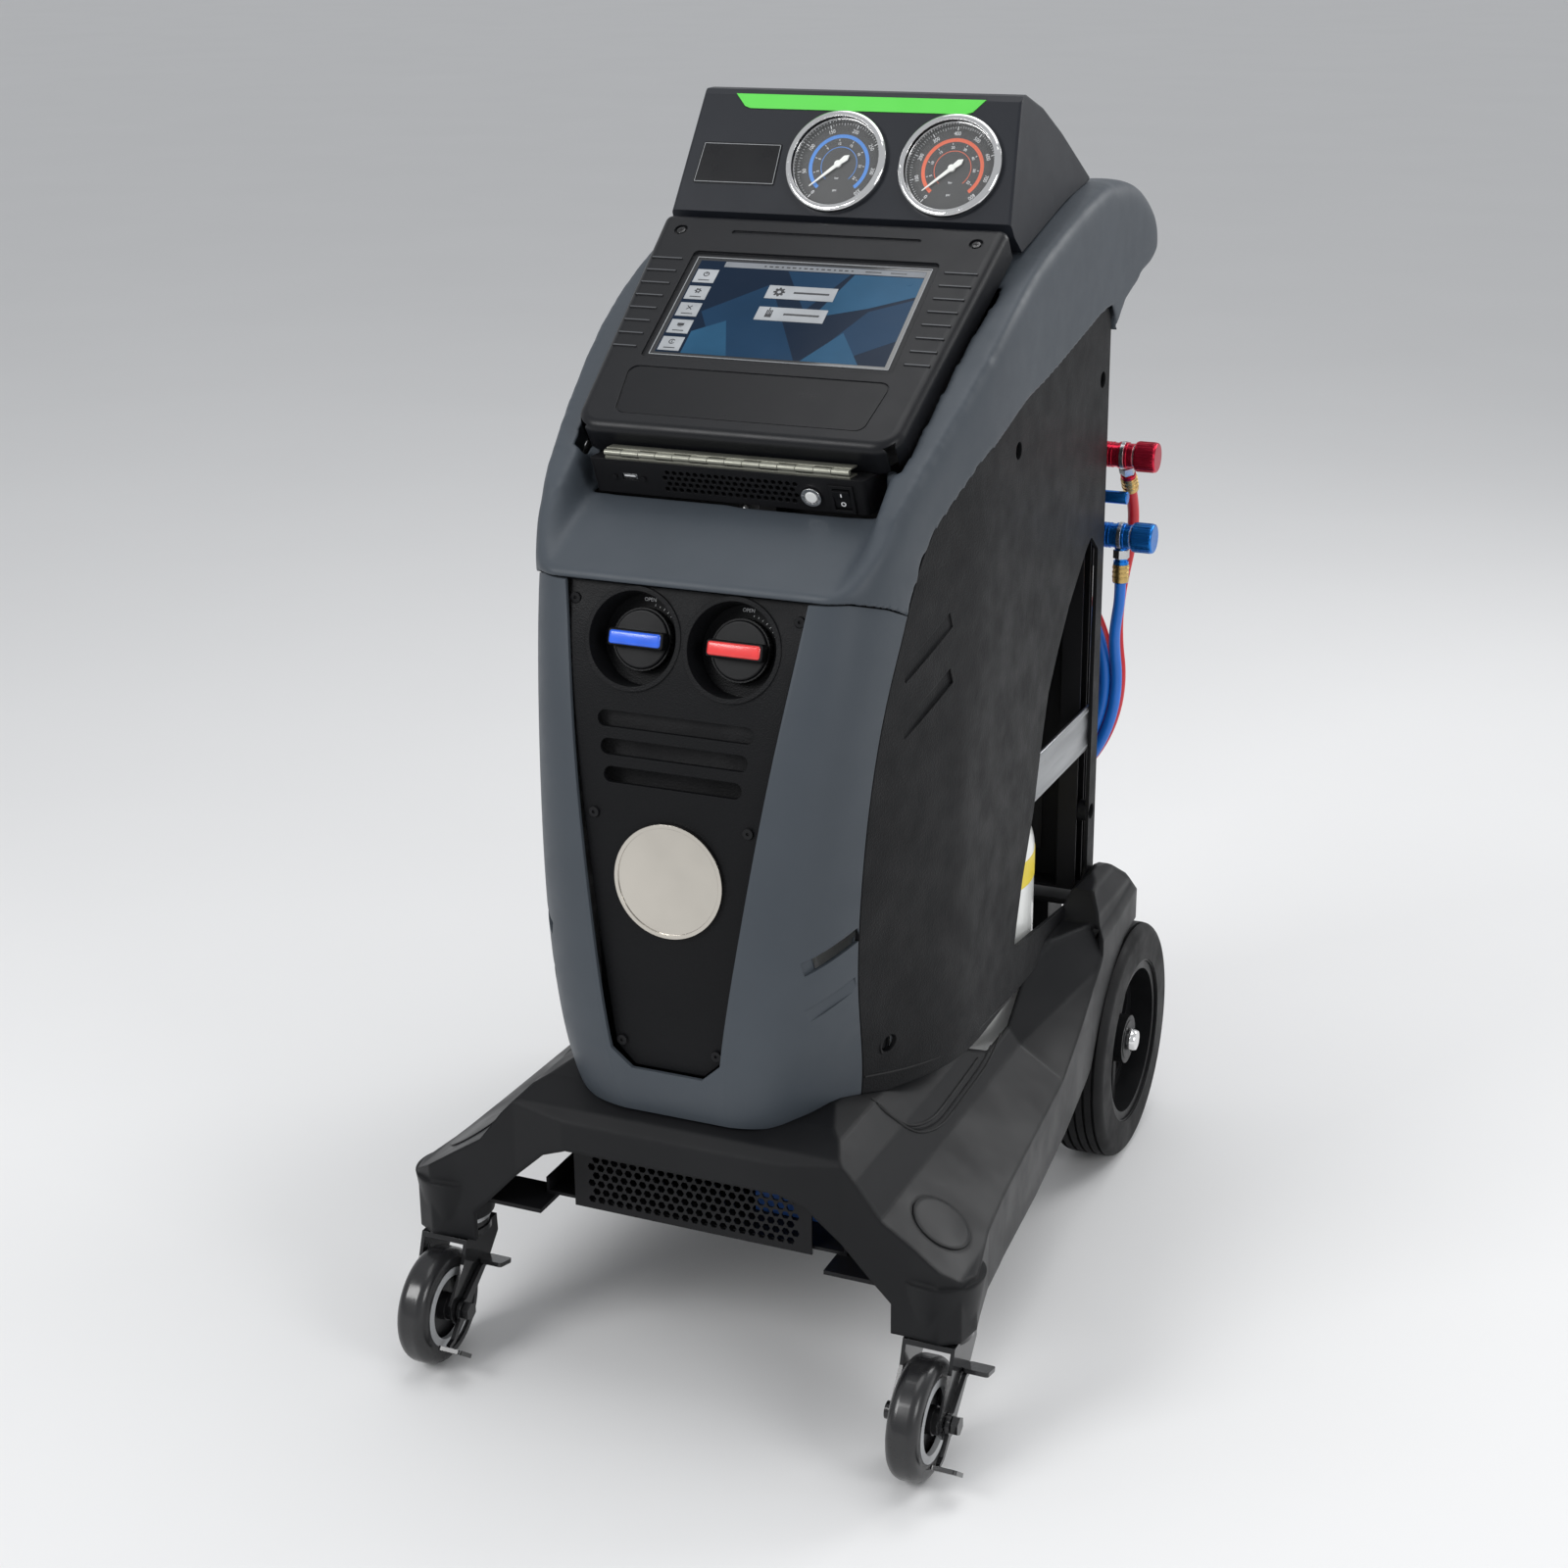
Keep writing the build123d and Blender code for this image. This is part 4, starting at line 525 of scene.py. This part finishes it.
for k in range(5):
    y = -24.5 - k * 22.2
    block(bm, BEZ, (-97, y, ZS + 0.3), (21, 17.5, 0.5), r=0.22, seg=2)
for y in (-40, -68):
    block(bm, BEZ, (2, y, ZS + 0.3), (66, 17, 0.6), r=0.28, seg=2)
finish_mesh("display_buttons", bm, "ui_button", "console")
bm = bmesh.new()
for k in range(5):
    y = -24.5 - k * 22.2
    c = (-97, y + 2.4)
    if k == 0:
        annulus(bm, BEZ, c[0], c[1], 2.0, 3.0, 0, 360, ZS + 0.5, ZS + 0.62, 24)
        flat(bm, BEZ, [(c[0] - 0.5, c[1]), (c[0] + 0.5, c[1]), (c[0] + 0.5, c[1] + 2), (c[0] - 0.5, c[1] + 2)], ZS + 0.5, ZS + 0.62)
    elif k == 1:
        for a in range(0, 360, 60):
            x0, y0 = c[0] + 2.8 * math.cos(rad(a)), c[1] + 2.8 * math.sin(rad(a))
            block(bm, BEZ, (x0, y0, ZS + 0.56), (1.2, 1.2, 0.12), rot=rad(a))
        annulus(bm, BEZ, c[0], c[1], 1.2, 2.4, 0, 360, ZS + 0.5, ZS + 0.62, 20)
    elif k == 2:
        block(bm, BEZ, (c[0], c[1], ZS + 0.56), (7, 1.0, 0.12), rot=rad(45))
        block(bm, BEZ, (c[0], c[1], ZS + 0.56), (7, 1.0, 0.12), rot=rad(-45))
    elif k == 3:
        block(bm, BEZ, (c[0], c[1], ZS + 0.56), (6.4, 3.4, 0.12))
        block(bm, BEZ, (c[0], c[1] - 2.6, ZS + 0.56), (3.6, 0.7, 0.12))
    else:
        annulus(bm, BEZ, c[0], c[1], 2.2, 3.1, 30, 330, ZS + 0.5, ZS + 0.62, 24)
        block(bm, BEZ, (c[0], c[1], ZS + 0.56), (0.9, 3.0, 0.12))
    block(bm, BEZ, (-97, y - 5.4, ZS + 0.56), (11, 1.1, 0.12))
for y in (-40, -68):
    block(bm, BEZ, (12, y, ZS + 0.62), (34, 2.3, 0.12))
for a in range(0, 360, 45):
    block(bm, BEZ, (-19 + 4.6 * math.cos(rad(a)), -40 + 4.6 * math.sin(rad(a)), ZS + 0.62), (2.0, 2.0, 0.12), rot=rad(a))
annulus(bm, BEZ, -19, -40, 1.8, 4.2, 0, 360, ZS + 0.56, ZS + 0.68, 28)
for i, dx in enumerate((-2.4, -0.8, 0.8, 2.4)):
    block(bm, BEZ, (-19 + dx, -66.0 + (1.8 if i == 1 else 0), ZS + 0.62), (1.1, 5.0 + (2.6 if i == 1 else 0), 0.12))
block(bm, BEZ, (-19, -70.6, ZS + 0.62), (6.2, 4.2, 0.12))
for i in range(16):
    block(bm, BEZ, (-44 + i * 5.6, -7.5, ZS + 0.2), (3.4 if i % 3 else 2.0, 1.6, 0.1))
for x in (60, 84):
    block(bm, BEZ, (x, -7.5, ZS + 0.2), (15, 1.4, 0.1))
finish_mesh("display_marks", bm, "ui_ink", "console", smooth=0)
bm = bmesh.new()
disc(bm, BEZ, (98, -19, ZS + 0.2), 3.2, 0.2, seg=28)
finish_mesh("display_dot", bm, "ui_light", "console", smooth=0)
# pale line round the display
bm = bmesh.new()
for (x0, y0), (x1, y1) in (((-113.2, -127.6), (113.2, -127.6)), ((113.2, -127.6), (113.2, 0.2)), ((113.2, 0.2), (-113.2, 0.2)), ((-113.2, 0.2), (-113.2, -127.6))):
    L = math.hypot(x1 - x0, y1 - y0)
    block(bm, BEZ, ((x0 + x1) / 2, (y0 + y1) / 2, -2.3), (L + 0.8, 0.8, 0.8), r=0.2, seg=1, rot=math.atan2(y1 - y0, x1 - x0))
finish_mesh("display_edge", bm, "dim", "console")

# thin ridges on both cheeks of the console, coloured lighter than the console as a painted highlight along each ridge
bm = bmesh.new()
for sx in (-1, 1):
    for k in range(8):
        y = -6.0 - k * 16.6
        x1 = 158.0 + y * 0.063
        block(bm, BEZ, (sx * (x1 + 126.5) / 2, y, 0.93), (x1 - 127.5, 1.3, 0.24), r=0.08, seg=1)
finish_mesh("console_ridges", bm, "ridge", "console")

# pad below the display
bm = bmesh.new()


def rounded(pts, r, n=6):
    out = []
    m = len(pts)
    for i in range(m):
        p, a, b = Vector(pts[i]), Vector(pts[i - 1]), Vector(pts[(i + 1) % m])
        u, v = (a - p).normalized(), (b - p).normalized()
        ang = u.angle(v)
        d = min(r / math.tan(ang / 2), (a - p).length * 0.48, (b - p).length * 0.48)
        rr = d * math.tan(ang / 2)
        c = p + (u + v).normalized() * (rr / math.sin(ang / 2))
        s, e = p + u * d, p + v * d
        a0 = math.atan2(s.y - c.y, s.x - c.x)
        a1 = math.atan2(e.y - c.y, e.x - c.x)
        while a1 - a0 > math.pi:
            a1 -= 2 * math.pi
        while a1 - a0 < -math.pi:
            a1 += 2 * math.pi
        for k in range(n + 1):
            q = a0 + (a1 - a0) * k / n
            out.append((c.x + rr * math.cos(q), c.y + rr * math.sin(q)))
    return out


flat(bm, BEZ, rounded([(-115, -203), (115, -203), (123, -146), (-123, -146)], 9), -1.6, -0.55)
finish_mesh("console_pad", bm, "pad", "console")
bm = bmesh.new()
for sx in (-1, 1):
    disc(bm, BEZ, (sx * 143.7, 33.5, -2.0), 4.3, 3.0, seg=28, bevel=0.8)
finish_mesh("console_screws", bm, "gloss", "console")
# deep-black cross on each screw head: painted shade standing in for the recessed slots
bm = bmesh.new()
for sx in (-1, 1):
    for q in (0.3, 0.3 + math.pi / 2):
        block(bm, BEZ, (sx * 143.7, 33.5, -0.42), (4.6, 0.9, 0.2), rot=q)
finish_mesh("console_screw_slot_shade", bm, "deep", "console")

# ---------------------------------------------------------------------------
# Control box: socket, a dark sheet behind the vent as painted shade, switch marks
# ---------------------------------------------------------------------------
bm = bmesh.new()
block(bm, FRB, (-92, 0.5, -2.4), (13.8, 6.0, 3.0), r=0.5, seg=2)
finish_mesh("usb_shell", bm, "steel", BODY)
# deep-black block in the socket: painted shade in the socket's cavity
bm = bmesh.new()
block(bm, FRB, (-92, 0.5, -0.9), (11.6, 4.2, 0.6))
finish_mesh("usb_mouth_shade", bm, "deep", BODY)
bm = bmesh.new()
block(bm, FRB, (-92, 1.3, -0.7), (10.4, 1.6, 0.9))
finish_mesh("usb_tongue", bm, "usb", BODY)
# deep-black sheet behind the control box front: painted shade inside the vent
bm = bmesh.new()
block(bm, FRB, (2, 0, -8.0), (140, 24, 0.8))
finish_mesh("vent_shade_sheet", bm, "deep", BODY)
bm = bmesh.new()
RK = local((106, -496.5 + (-0.41907) * -2.4 + (-0.90796) * -3.0, 821.75 + 0.90796 * -2.4 + (-0.41907) * -3.0), (0, -32.5, -15.0))
block(bm, RK, (0, 6.0, 5.75), (1.1, 4.6, 0.25))
annulus(bm, RK, 0, -5.2, 1.4, 2.3, 0, 360, 3.55, 3.8, 28)
finish_mesh("rocker_marks", bm, "print", "rocker", smooth=0)
bm = bmesh.new()
annulus(bm, FRB, 78, -2.4, 6.0, 9.1, 0, 360, 1.0, 2.6, 48)
finish_mesh("button_ring", bm, "chrome", BODY)

# ---------------------------------------------------------------------------
# Gauges
# ---------------------------------------------------------------------------
ZD = -4.76
white = bmesh.new()
for gx, outer, inner, band in ((-9.5, [50, 100, 150, 200, 250, 300, 350], [3, 6, 9, 12, 15, 18, 21, 24], "band_blue"), (100.5, [100, 200, 300, 400, 500, 600, 700, 800], [5, 10, 15, 20, 30, 40, 50, 55], "band_red")):
    gy = 51
    a_lo, a_hi = 232.0, -48.0
    n_out = len(outer)
    for i in range(n_out + 1):
        a = a_lo + (a_hi - a_lo) * i / n_out
        block(white, GAU, (gx + 38.6 * math.cos(rad(a)), gy + 38.6 * math.sin(rad(a)), ZD), (3.6, 0.75, 0.1), rot=rad(a))
        if i:
            letters(white, GAU, str(outer[i - 1]), 5.2, gx + 33.6 * math.cos(rad(a)), gy + 33.6 * math.sin(rad(a)), ZD, turn=rad(a - 90), width=0.85)
        else:
            letters(white, GAU, "0", 5.2, gx + 33.6 * math.cos(rad(a)), gy + 33.6 * math.sin(rad(a)), ZD, turn=rad(a - 90))
        if i < n_out:
            for k in range(1, 10):
                b = a + (a_hi - a_lo) / n_out * k / 10
                L = 2.6 if k == 5 else 1.7
                block(white, GAU, (gx + (40.4 - L / 2) * math.cos(rad(b)), gy + (40.4 - L / 2) * math.sin(rad(b)), ZD), (L, 0.35, 0.1), rot=rad(b))
    for i, t in enumerate(inner):
        a = a_lo + (a_hi - a_lo) * (i + 1) / (len(inner) + 0.4)
        letters(white, GAU, str(t), 3.7, gx + 20.6 * math.cos(rad(a)), gy + 20.6 * math.sin(rad(a)), ZD, turn=rad(a - 90), width=0.9)
        block(white, GAU, (gx + 24.2 * math.cos(rad(a)), gy + 24.2 * math.sin(rad(a)), ZD), (1.8, 0.45, 0.1), rot=rad(a))
    letters(white, GAU, "psi", 3.4, gx, gy - 24, ZD)
    letters(white, GAU, "bar", 3.0, gx, gy - 12.5, ZD)
    bm = bmesh.new()
    annulus(bm, GAU, gx, gy, 26.0, 29.4, a_lo, a_hi, ZD - 0.05, ZD + 0.05, 90)
    annulus(bm, GAU, gx, gy, 17.0, 17.6, a_lo, a_hi, ZD - 0.05, ZD + 0.05, 90)
    finish_mesh("gauge_" + band, bm, band, BODY, smooth=0)
finish_mesh("gauge_figures", white, "print", BODY, smooth=0)
bm = bmesh.new()
for gx in (-9.5, 100.5):
    annulus(bm, GAU, gx, 51, 42.2, 44.0, 0, 360, 2.4, 6.2, 72)
finish_mesh("gauge_shadow_rings", bm, "black", BODY)
# blank plate beside the gauges
bm = bmesh.new()
flat(bm, GAU, rounded([(-150, 27), (-68, 27), (-66.5, 67), (-145.5, 67)], 2.0), -0.2, 0.75)
finish_mesh("name_plate", bm, "pad", BODY)
bm = bmesh.new()
for (x0, y0), (x1, y1) in (((-148.6, 28.4), (-69.2, 28.4)), ((-69.2, 28.4), (-67.9, 65.6)), ((-67.9, 65.6), (-144.4, 65.6)), ((-144.4, 65.6), (-148.6, 28.4))):
    L = math.hypot(x1 - x0, y1 - y0)
    block(bm, GAU, ((x0 + x1) / 2, (y0 + y1) / 2, 0.78), (L, 0.5, 0.12), rot=math.atan2(y1 - y0, x1 - x0))
finish_mesh("name_plate_line", bm, "dim", BODY, smooth=0)

# ---------------------------------------------------------------------------
# Knobs: coloured grips, printed plates, slot baffle
# ---------------------------------------------------------------------------
marks = bmesh.new()
for x, body, col in ((-45.7, "knob_low", "grip_blue"), (45.7, "knob_high", "grip_red")):
    K = knob_frame(x)
    bm = bmesh.new()
    block(bm, K, (0, 0, 21.6), (49.0, 12.4, 6.4), r=2.9, seg=5)
    finish_mesh(body + "_grip", bm, col, body)
    bm = bmesh.new()
    annulus(bm, K, 0, 0, 25.0, 27.0, 0, 360, 1.4, 9.6, 60)
    for k in range(48):
        a = 7.5 * k
        block(bm, K, (26.9 * math.cos(rad(a)), 26.9 * math.sin(rad(a)), 5.6), (1.0, 1.5, 7.6), r=0.2, seg=1, rot=rad(a))
    finish_mesh(body + "_skirt", bm, "black", body)
    letters(marks, K, "OPEN", 4.6, 0, 34.0, 0.12, width=0.95)
    letters(marks, K, "CLOSED", 4.4, 34.2, -2, 0.12, turn=-math.pi / 2, width=0.9)
    for i in range(6):
        a = 62 - i * 10.5
        disc(marks, K, (34.0 * math.cos(rad(a)), 34.0 * math.sin(rad(a)), 0.12), 0.45 + 0.16 * i, 0.12, seg=14)
    for i in range(9):
        a = 80 - i * 8.6
        block(marks, K, (30.2 * math.cos(rad(a)), 30.2 * math.sin(rad(a)), 0.1), (1.5, 0.4, 0.1), rot=rad(a))
finish_mesh("knob_marks", marks, "print", BODY, smooth=0)

bm = bmesh.new()
block(bm, WORLD, (0, -598, 617.4), (152, 3, 74), r=0.8, seg=1)
finish_mesh("slot_baffle", bm, "foam", BODY)
# deep-black sheet inside the front: painted shade standing in for the dark interior seen through the gaps
bm = bmesh.new()
block(bm, WORLD, (0, -596, 390), (168, 1.5, 174), r=0.5, seg=1)
finish_mesh("front_shade_sheet", bm, "deep", BODY)
# deep-black sheets near the back: painted shade standing in for the dark interior
bm = bmesh.new()
block(bm, WORLD, (95, -9.4, 391), (76, 1.0, 110))
block(bm, WORLD, (-95, -9.4, 404), (76, 1.0, 84))
block(bm, WORLD, (-80, -9.4, 348), (46, 1.0, 24))
finish_mesh("back_shade_sheet", bm, "deep", BODY)

# ---------------------------------------------------------------------------
# Side windows: blank plates across the openings, tank label
# ---------------------------------------------------------------------------
for sx, side in ((-1, "left"), (1, "right")):
    YZ = local((sx * 184.0, -107.0, 483.0), (sx, 0, 0), (0, sx, 0))
    bm = bmesh.new()
    block(bm, YZ, (0, 0, 0), (196.0, 46.0, 4.4), r=1.6, seg=3)
    finish_mesh("window_plate_" + side, bm, "alu", BODY)
    bm = bmesh.new()
    for (x0, y0), (x1, y1) in (((-92, -18.5), (92, -18.5)), ((92, -18.5), (92, 18.5)), ((92, 18.5), (-92, 18.5)), ((-92, 18.5), (-92, -18.5))):
        L = math.hypot(x1 - x0, y1 - y0)
        block(bm, YZ, ((x0 + x1) / 2, (y0 + y1) / 2, 2.25), (L + 1.2, 1.3, 0.3), rot=math.atan2(y1 - y0, x1 - x0))
    finish_mesh("window_plate_line_" + side, bm, "dim", BODY, smooth=0)

TK = local((66, -190, 384), (0, 0, 1))
bm = bmesh.new()
annulus(bm, TK, 0, 0, 111.6, 112.5, -60, 60, -14, 12, 40)
finish_mesh("tank_patch", bm, "yellow", BODY)
bm = bmesh.new()
disc(bm, local((66, -190, 474), (0, 0, 1)), (0, 0, 0), 9, 16, seg=24, bevel=1.5)
for sx, col in ((-1, 0), (1, 1)):
    disc(bm, local((66 + sx * 26, -190, 466), (sx, 0, 0)), (0, 0, 0), 6, 24, seg=6)
finish_mesh("tank_valve", bm, "brass", BODY)
bm = bmesh.new()
for sx in (-1, 1):
    disc(bm, local((66 + sx * 26, -190, 480), (0, 0, 1)), (0, 0, 0), 14, 8, seg=16, bevel=2.0)
finish_mesh("tank_handwheels", bm, "ano_blue", BODY)

# ---------------------------------------------------------------------------
# Running gear details
# ---------------------------------------------------------------------------
CX, CY = 240.7, -602.4
WY = CY - 48.0
for sx, side in ((-1, "left"), (1, "right")):
    cx = sx * CX
    AX = local((cx, WY, 55), (1, 0, 0), (0, 1, 0))
    bm = bmesh.new()
    for s in (-1, 1):
        annulus(bm, AX, 0, 0, 30.0, 37.6, 0, 360, min(s * 9.0, s * 13.9), max(s * 9.0, s * 13.9), 64)
    finish_mesh("caster_ring_" + side, bm, "rim_grey", "caster_wheel_" + side)
    bm = bmesh.new()
    disc(bm, AX, (0, 0, 0), 11.5, 37.4, seg=32)
    finish_mesh("caster_hub_" + side, bm, "steel", "caster_wheel_" + side)
    # raised word on the lower brake pad
    a = rad(-38)
    n = Vector((0, math.sin(-a), math.cos(a)))
    LP = local((cx + 36, WY - 33, 31), (0, -math.sin(rad(38)), math.cos(rad(38))), (1, 0, 0))
    LP2 = local((cx + 36, WY - 33, 31), (0, math.sin(rad(38)), math.cos(rad(38))), (1, 0, 0))
    bm = bmesh.new()
    letters(bm, LP2, "ON", 11.0, 0, 0, 2.15, turn=math.pi, depth=0.25)
    finish_mesh("pad_word_" + side, bm, "rim_grey", "brake_lever_" + side, smooth=0)

for sx, side in ((-1, "left"), (1, "right")):
    AX = local((sx * 241.0, 0, 127), (sx, 0, 0), (0, sx, 0))
    bm = bmesh.new()
    annulus(bm, AX, 0, 0, 86.5, 90.0, 0, 360, -6, -1.0, 96)
    annulus(bm, AX, 0, 0, 17.0, 26.0, 0, 360, -20, -7.5, 48)
    for k in range(5):
        a = 54 + 72 * k
        block(bm, AX, (50 * math.cos(rad(a)), 50 * math.sin(rad(a)), -27), (56, 11, 12), r=2.0, seg=2, rot=rad(a))
    finish_mesh("rear_rim_detail_" + side, bm, "black", "rear_wheel_" + side)

# ---------------------------------------------------------------------------
# Couplers and hoses
# ---------------------------------------------------------------------------
for tag, z, e in (("red", 752.0, (0.0, 27.0, -41.0)), ("blue", 668.0, (0.0, 0.0, -49.0))):
    A = local((164.0, 45.0, z), (1, 0, 0), (0, 1, 0))
    bm = bmesh.new()
    for k in range(30):
        a = 12.0 * k
        block(bm, A, (15.0 * math.cos(rad(a)), 15.0 * math.sin(rad(a)), 52.5), (1.0, 1.5, 17.5), r=0.3, seg=1, rot=rad(a))
    for zz in (10, 13.5, 17):
        annulus(bm, A, 0, 0, 12.2, 13.1, 0, 360, zz, zz + 1.6, 48)
    finish_mesh("coupler_knurl_" + tag, bm, "ano_" + tag, BODY)
    bm = bmesh.new()
    annulus(bm, A, 0, 0, 12.0, 14.3, 0, 360, 27.0, 31.0, 48)
    annulus(bm, A, 0, 0, 8.0, 11.4, 0, 360, 37.6, 41.2, 48)
    E = local((193.5, 45.0, z), e, (1, 0, 0))
    L = Vector(e).length
    disc(bm, E, (0, 0, 18.5), 8.6, 9.0, seg=6)
    finish_mesh("coupler_bands_" + tag, bm, "steel", BODY)
    bm = bmesh.new()
    disc(bm, E, (0, 0, L - 10.0), 8.3, 19.0, seg=32, bevel=0.8)
    for zz in (L - 17, L - 12, L - 7):
        annulus(bm, E, 0, 0, 8.0, 8.8, 0, 360, zz, zz + 1.6, 32)
    finish_mesh("hose_ferrule_" + tag, bm, "brass", BODY)
bm = bmesh.new()
A = local((160.0, 45.0, 708.0), (1, 0, 0), (0, 1, 0))
disc(bm, A, (0, 0, 20.6), 6.6, 35.0, seg=32, bevel=0.8)
annulus(bm, A, 0, 0, 6.0, 8.4, 0, 360, 8, 12, 32)
finish_mesh("free_post_sleeve", bm, "ano_blue", BODY)

COIL_C, COIL_Y = (30.0, 502.0), {"blue": 64.5, "red": 78.5}
R_OUT, R_IN = 158.3, 133.7
TAIL = {
    "red": [(193.5, 72, 711), (193.5, 83, 694), (192.5, 91, 671), (189, 94.5, 645), (184, 93.5, 618), (181, 90, 592), (180.5, 85.5, 566), (183, 80.5, 541)],
    "blue": [(193.5, 45, 619), (193.5, 46, 600), (189.5, 50, 579), (186, 56, 558), (185.6, 61.5, 537)],
}
for tag, ang in (("blue", -80.0), ("red", -100.0)):
    q = rad(ang)
    yc = COIL_Y[tag]
    c = Vector((COIL_C[0] + 116.0 * math.cos(q), yc, COIL_C[1] + 116.0 * math.sin(q)))
    d = Vector((-math.sin(q), 0, math.cos(q)))
    p0 = c + d * 28
    p1 = p0 + d * 24
    q5 = rad(5.0)
    p4 = Vector((COIL_C[0] + R_IN * math.cos(q5), yc, COIL_C[1] + R_IN * math.sin(q5)))
    reach = (p4 - p1).length * 0.36
    p2 = p1 + d * reach
    p3 = p4 - Vector((-math.sin(q5), 0, math.cos(q5))) * reach
    route = [p0, p0 + d * 12, p1]
    for k in range(1, 7):
        t = k / 7
        route.append(p1 * (1 - t) ** 3 + p2 * (3 * t * (1 - t) ** 2) + p3 * (3 * t * t * (1 - t)) + p4 * t**3)
    for k in range(0, 73):
        phi = 720 - k * 10
        th = rad(5 - phi)
        r = R_OUT + (R_IN - R_OUT) * phi / 720
        route.append(Vector((COIL_C[0] + r * math.cos(th), yc, COIL_C[1] + r * math.sin(th))))
    route += [Vector(p) for p in reversed(TAIL[tag])]
    pts = [P(*p) for p in route]
    cu = bpy.data.curves.new("hose_line_" + tag, "CURVE")
    cu.dimensions = "3D"
    sp = cu.splines.new("NURBS")
    sp.points.add(len(pts) - 1)
    for i, p in enumerate(pts):
        sp.points[i].co = (p.x, p.y, p.z, 1.0)
    sp.order_u = 3
    sp.use_endpoint_u = True
    sp.resolution_u = 4
    cu.bevel_depth = 0.0059
    cu.bevel_resolution = 6
    cu.use_fill_caps = True
    o = bpy.data.objects.new("charging_hose_" + tag, cu)
    bpy.context.scene.collection.objects.link(o)
    cu.materials.append(M["hose_" + tag])
    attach(o, BODY)
    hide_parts("hose_" + tag, "hose_coil_" + tag)
    mids = [pts[0]] + [(pts[i] + pts[i + 1]) / 2 for i in range(1, len(pts) - 2)] + [pts[-1]]

# ---------------------------------------------------------------------------
# Seam under each side panel, and the double groove round the body's foot drawn as painted shade: dark tubes on the
# surface with a base-coloured tube between
# ---------------------------------------------------------------------------
from mathutils.bvhtree import BVHTree

EYE = P(895.081, -2424.252, 1317.039)


def tree(o):
    me = o.data
    return BVHTree.FromPolygons([v.co.copy() for v in me.vertices], [tuple(f.vertices) for f in me.polygons])


def sight(px, py):
    d = Mw.T @ np.array([(px - 800) / 2602.35, (py - 800) / 2602.35, 1.0])
    return Vector(d).normalized()


def strand(name, pts, r, mat, body):
    cu = bpy.data.curves.new(name, "CURVE")
    cu.dimensions = "3D"
    sp = cu.splines.new("NURBS")
    sp.points.add(len(pts) - 1)
    for i, q in enumerate(pts):
        sp.points[i].co = (q.x, q.y, q.z, 1.0)
    sp.order_u = 3
    sp.use_endpoint_u = True
    sp.resolution_u = 4
    cu.bevel_depth = r * 1e-3
    cu.bevel_resolution = 3
    cu.use_fill_caps = True
    cu.materials.append(M[mat])
    o = bpy.data.objects.new(name, cu)
    bpy.context.scene.collection.objects.link(o)
    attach(o, body)
    return o


base_tree = tree(NODE["base_cover"])
GROOVE = [(889, 1121), (898, 1130), (909, 1139), (918, 1145), (929, 1149), (941, 1147), (952, 1141), (960, 1132), (968, 1121), (983, 1101), (998, 1080), (1006, 1063), (1012, 1048)]
# the two deep-black tubes are painted shade standing in for the two cut grooves; the base-coloured middle tube is the
# ridge between them
for k, (dx, dy, r, mat) in enumerate(((0, 0, 1.5, "deep"), (5, 4, 1.1, "base"), (9, 7, 1.3, "deep"))):
    found = []
    for px, py in GROOVE:
        hit = base_tree.ray_cast(EYE, sight(px + dx, py + dy))[0]
        if hit is not None:
            found.append(hit)
    keep = [found[0]] if found else []
    for q in found[1:]:
        if (q - keep[-1]).length < 0.09:
            keep.append(q)
    if len(keep) > 4:
        for sx, side in ((1, "right"), (-1, "left")):
            strand("foot_groove_%s_%d" % (side, k), [Vector((sx * q.x, q.y, q.z)) for q in keep], r, mat, BODY)
for sx, side in ((1, "right"), (-1, "left")):
    pt = tree(NODE["side_panel_" + side])
    line = []
    for y, z in ((-534, 309), (-520, 306), (-500, 302), (-470, 298), (-432, 295), (-390, 293), (-323, 290), (-270, 284), (-224, 280), (-150, 277), (-90, 279), (-60, 285)):
        hit = pt.ray_cast(P(sx * 400, y, z), Vector((-sx, 0, 0)))[0]
        if hit is not None:
            line.append(hit)
    if len(line) > 4:
        strand("panel_seam_" + side, line, 1.0, "deep", BODY)

# ---------------------------------------------------------------------------
# Floor, light
# ---------------------------------------------------------------------------
bm = bmesh.new()
bmesh.ops.create_grid(bm, x_segments=1, y_segments=1, size=40.0)
me = bpy.data.meshes.new("floor")
bm.to_mesh(me)
bm.free()
floor = bpy.data.objects.new("floor", me)
bpy.context.scene.collection.objects.link(floor)
me.materials.append(material("floor_pale", (0.80, 0.80, 0.80), 0.75, tint=0.01, tint_scale=1.5, rough_var=0.05, edge=0))

world = bpy.data.worlds.new("studio")
world.use_nodes = True
bpy.context.scene.world = world
bg = world.node_tree.nodes["Background"]
bg.inputs["Color"].default_value = (0.95, 0.97, 1.0, 1.0)
bg.inputs["Strength"].default_value = 0.55


def lamp(name, loc, aim, size, power, color=(1, 1, 1), size_y=None):
    d = bpy.data.lights.new(name, "AREA")
    d.energy = power
    d.color = color
    d.shape = "RECTANGLE"
    d.size = size
    d.size_y = size_y or size
    o = bpy.data.objects.new(name, d)
    bpy.context.scene.collection.objects.link(o)
    o.location = loc
    v = Vector(aim) - Vector(loc)
    o.rotation_euler = v.to_track_quat("-Z", "Y").to_euler()
    return o


lamp("key", (-1.7, -2.9, 2.6), (0, 0, 0.6), 1.5, 62)
lamp("fill", (3.0, -1.6, 1.7), (0, 0, 0.5), 1.2, 26)
lamp("top", (0.2, 0.3, 3.4), (0, 0, 0.6), 2.2, 34)
lamp("rim", (1.8, 2.2, 2.0), (0, 0, 0.7), 1.2, 26)
vs = bpy.context.scene.view_settings
vs.view_transform = "Standard"
vs.look = "None"
vs.exposure = 0.0
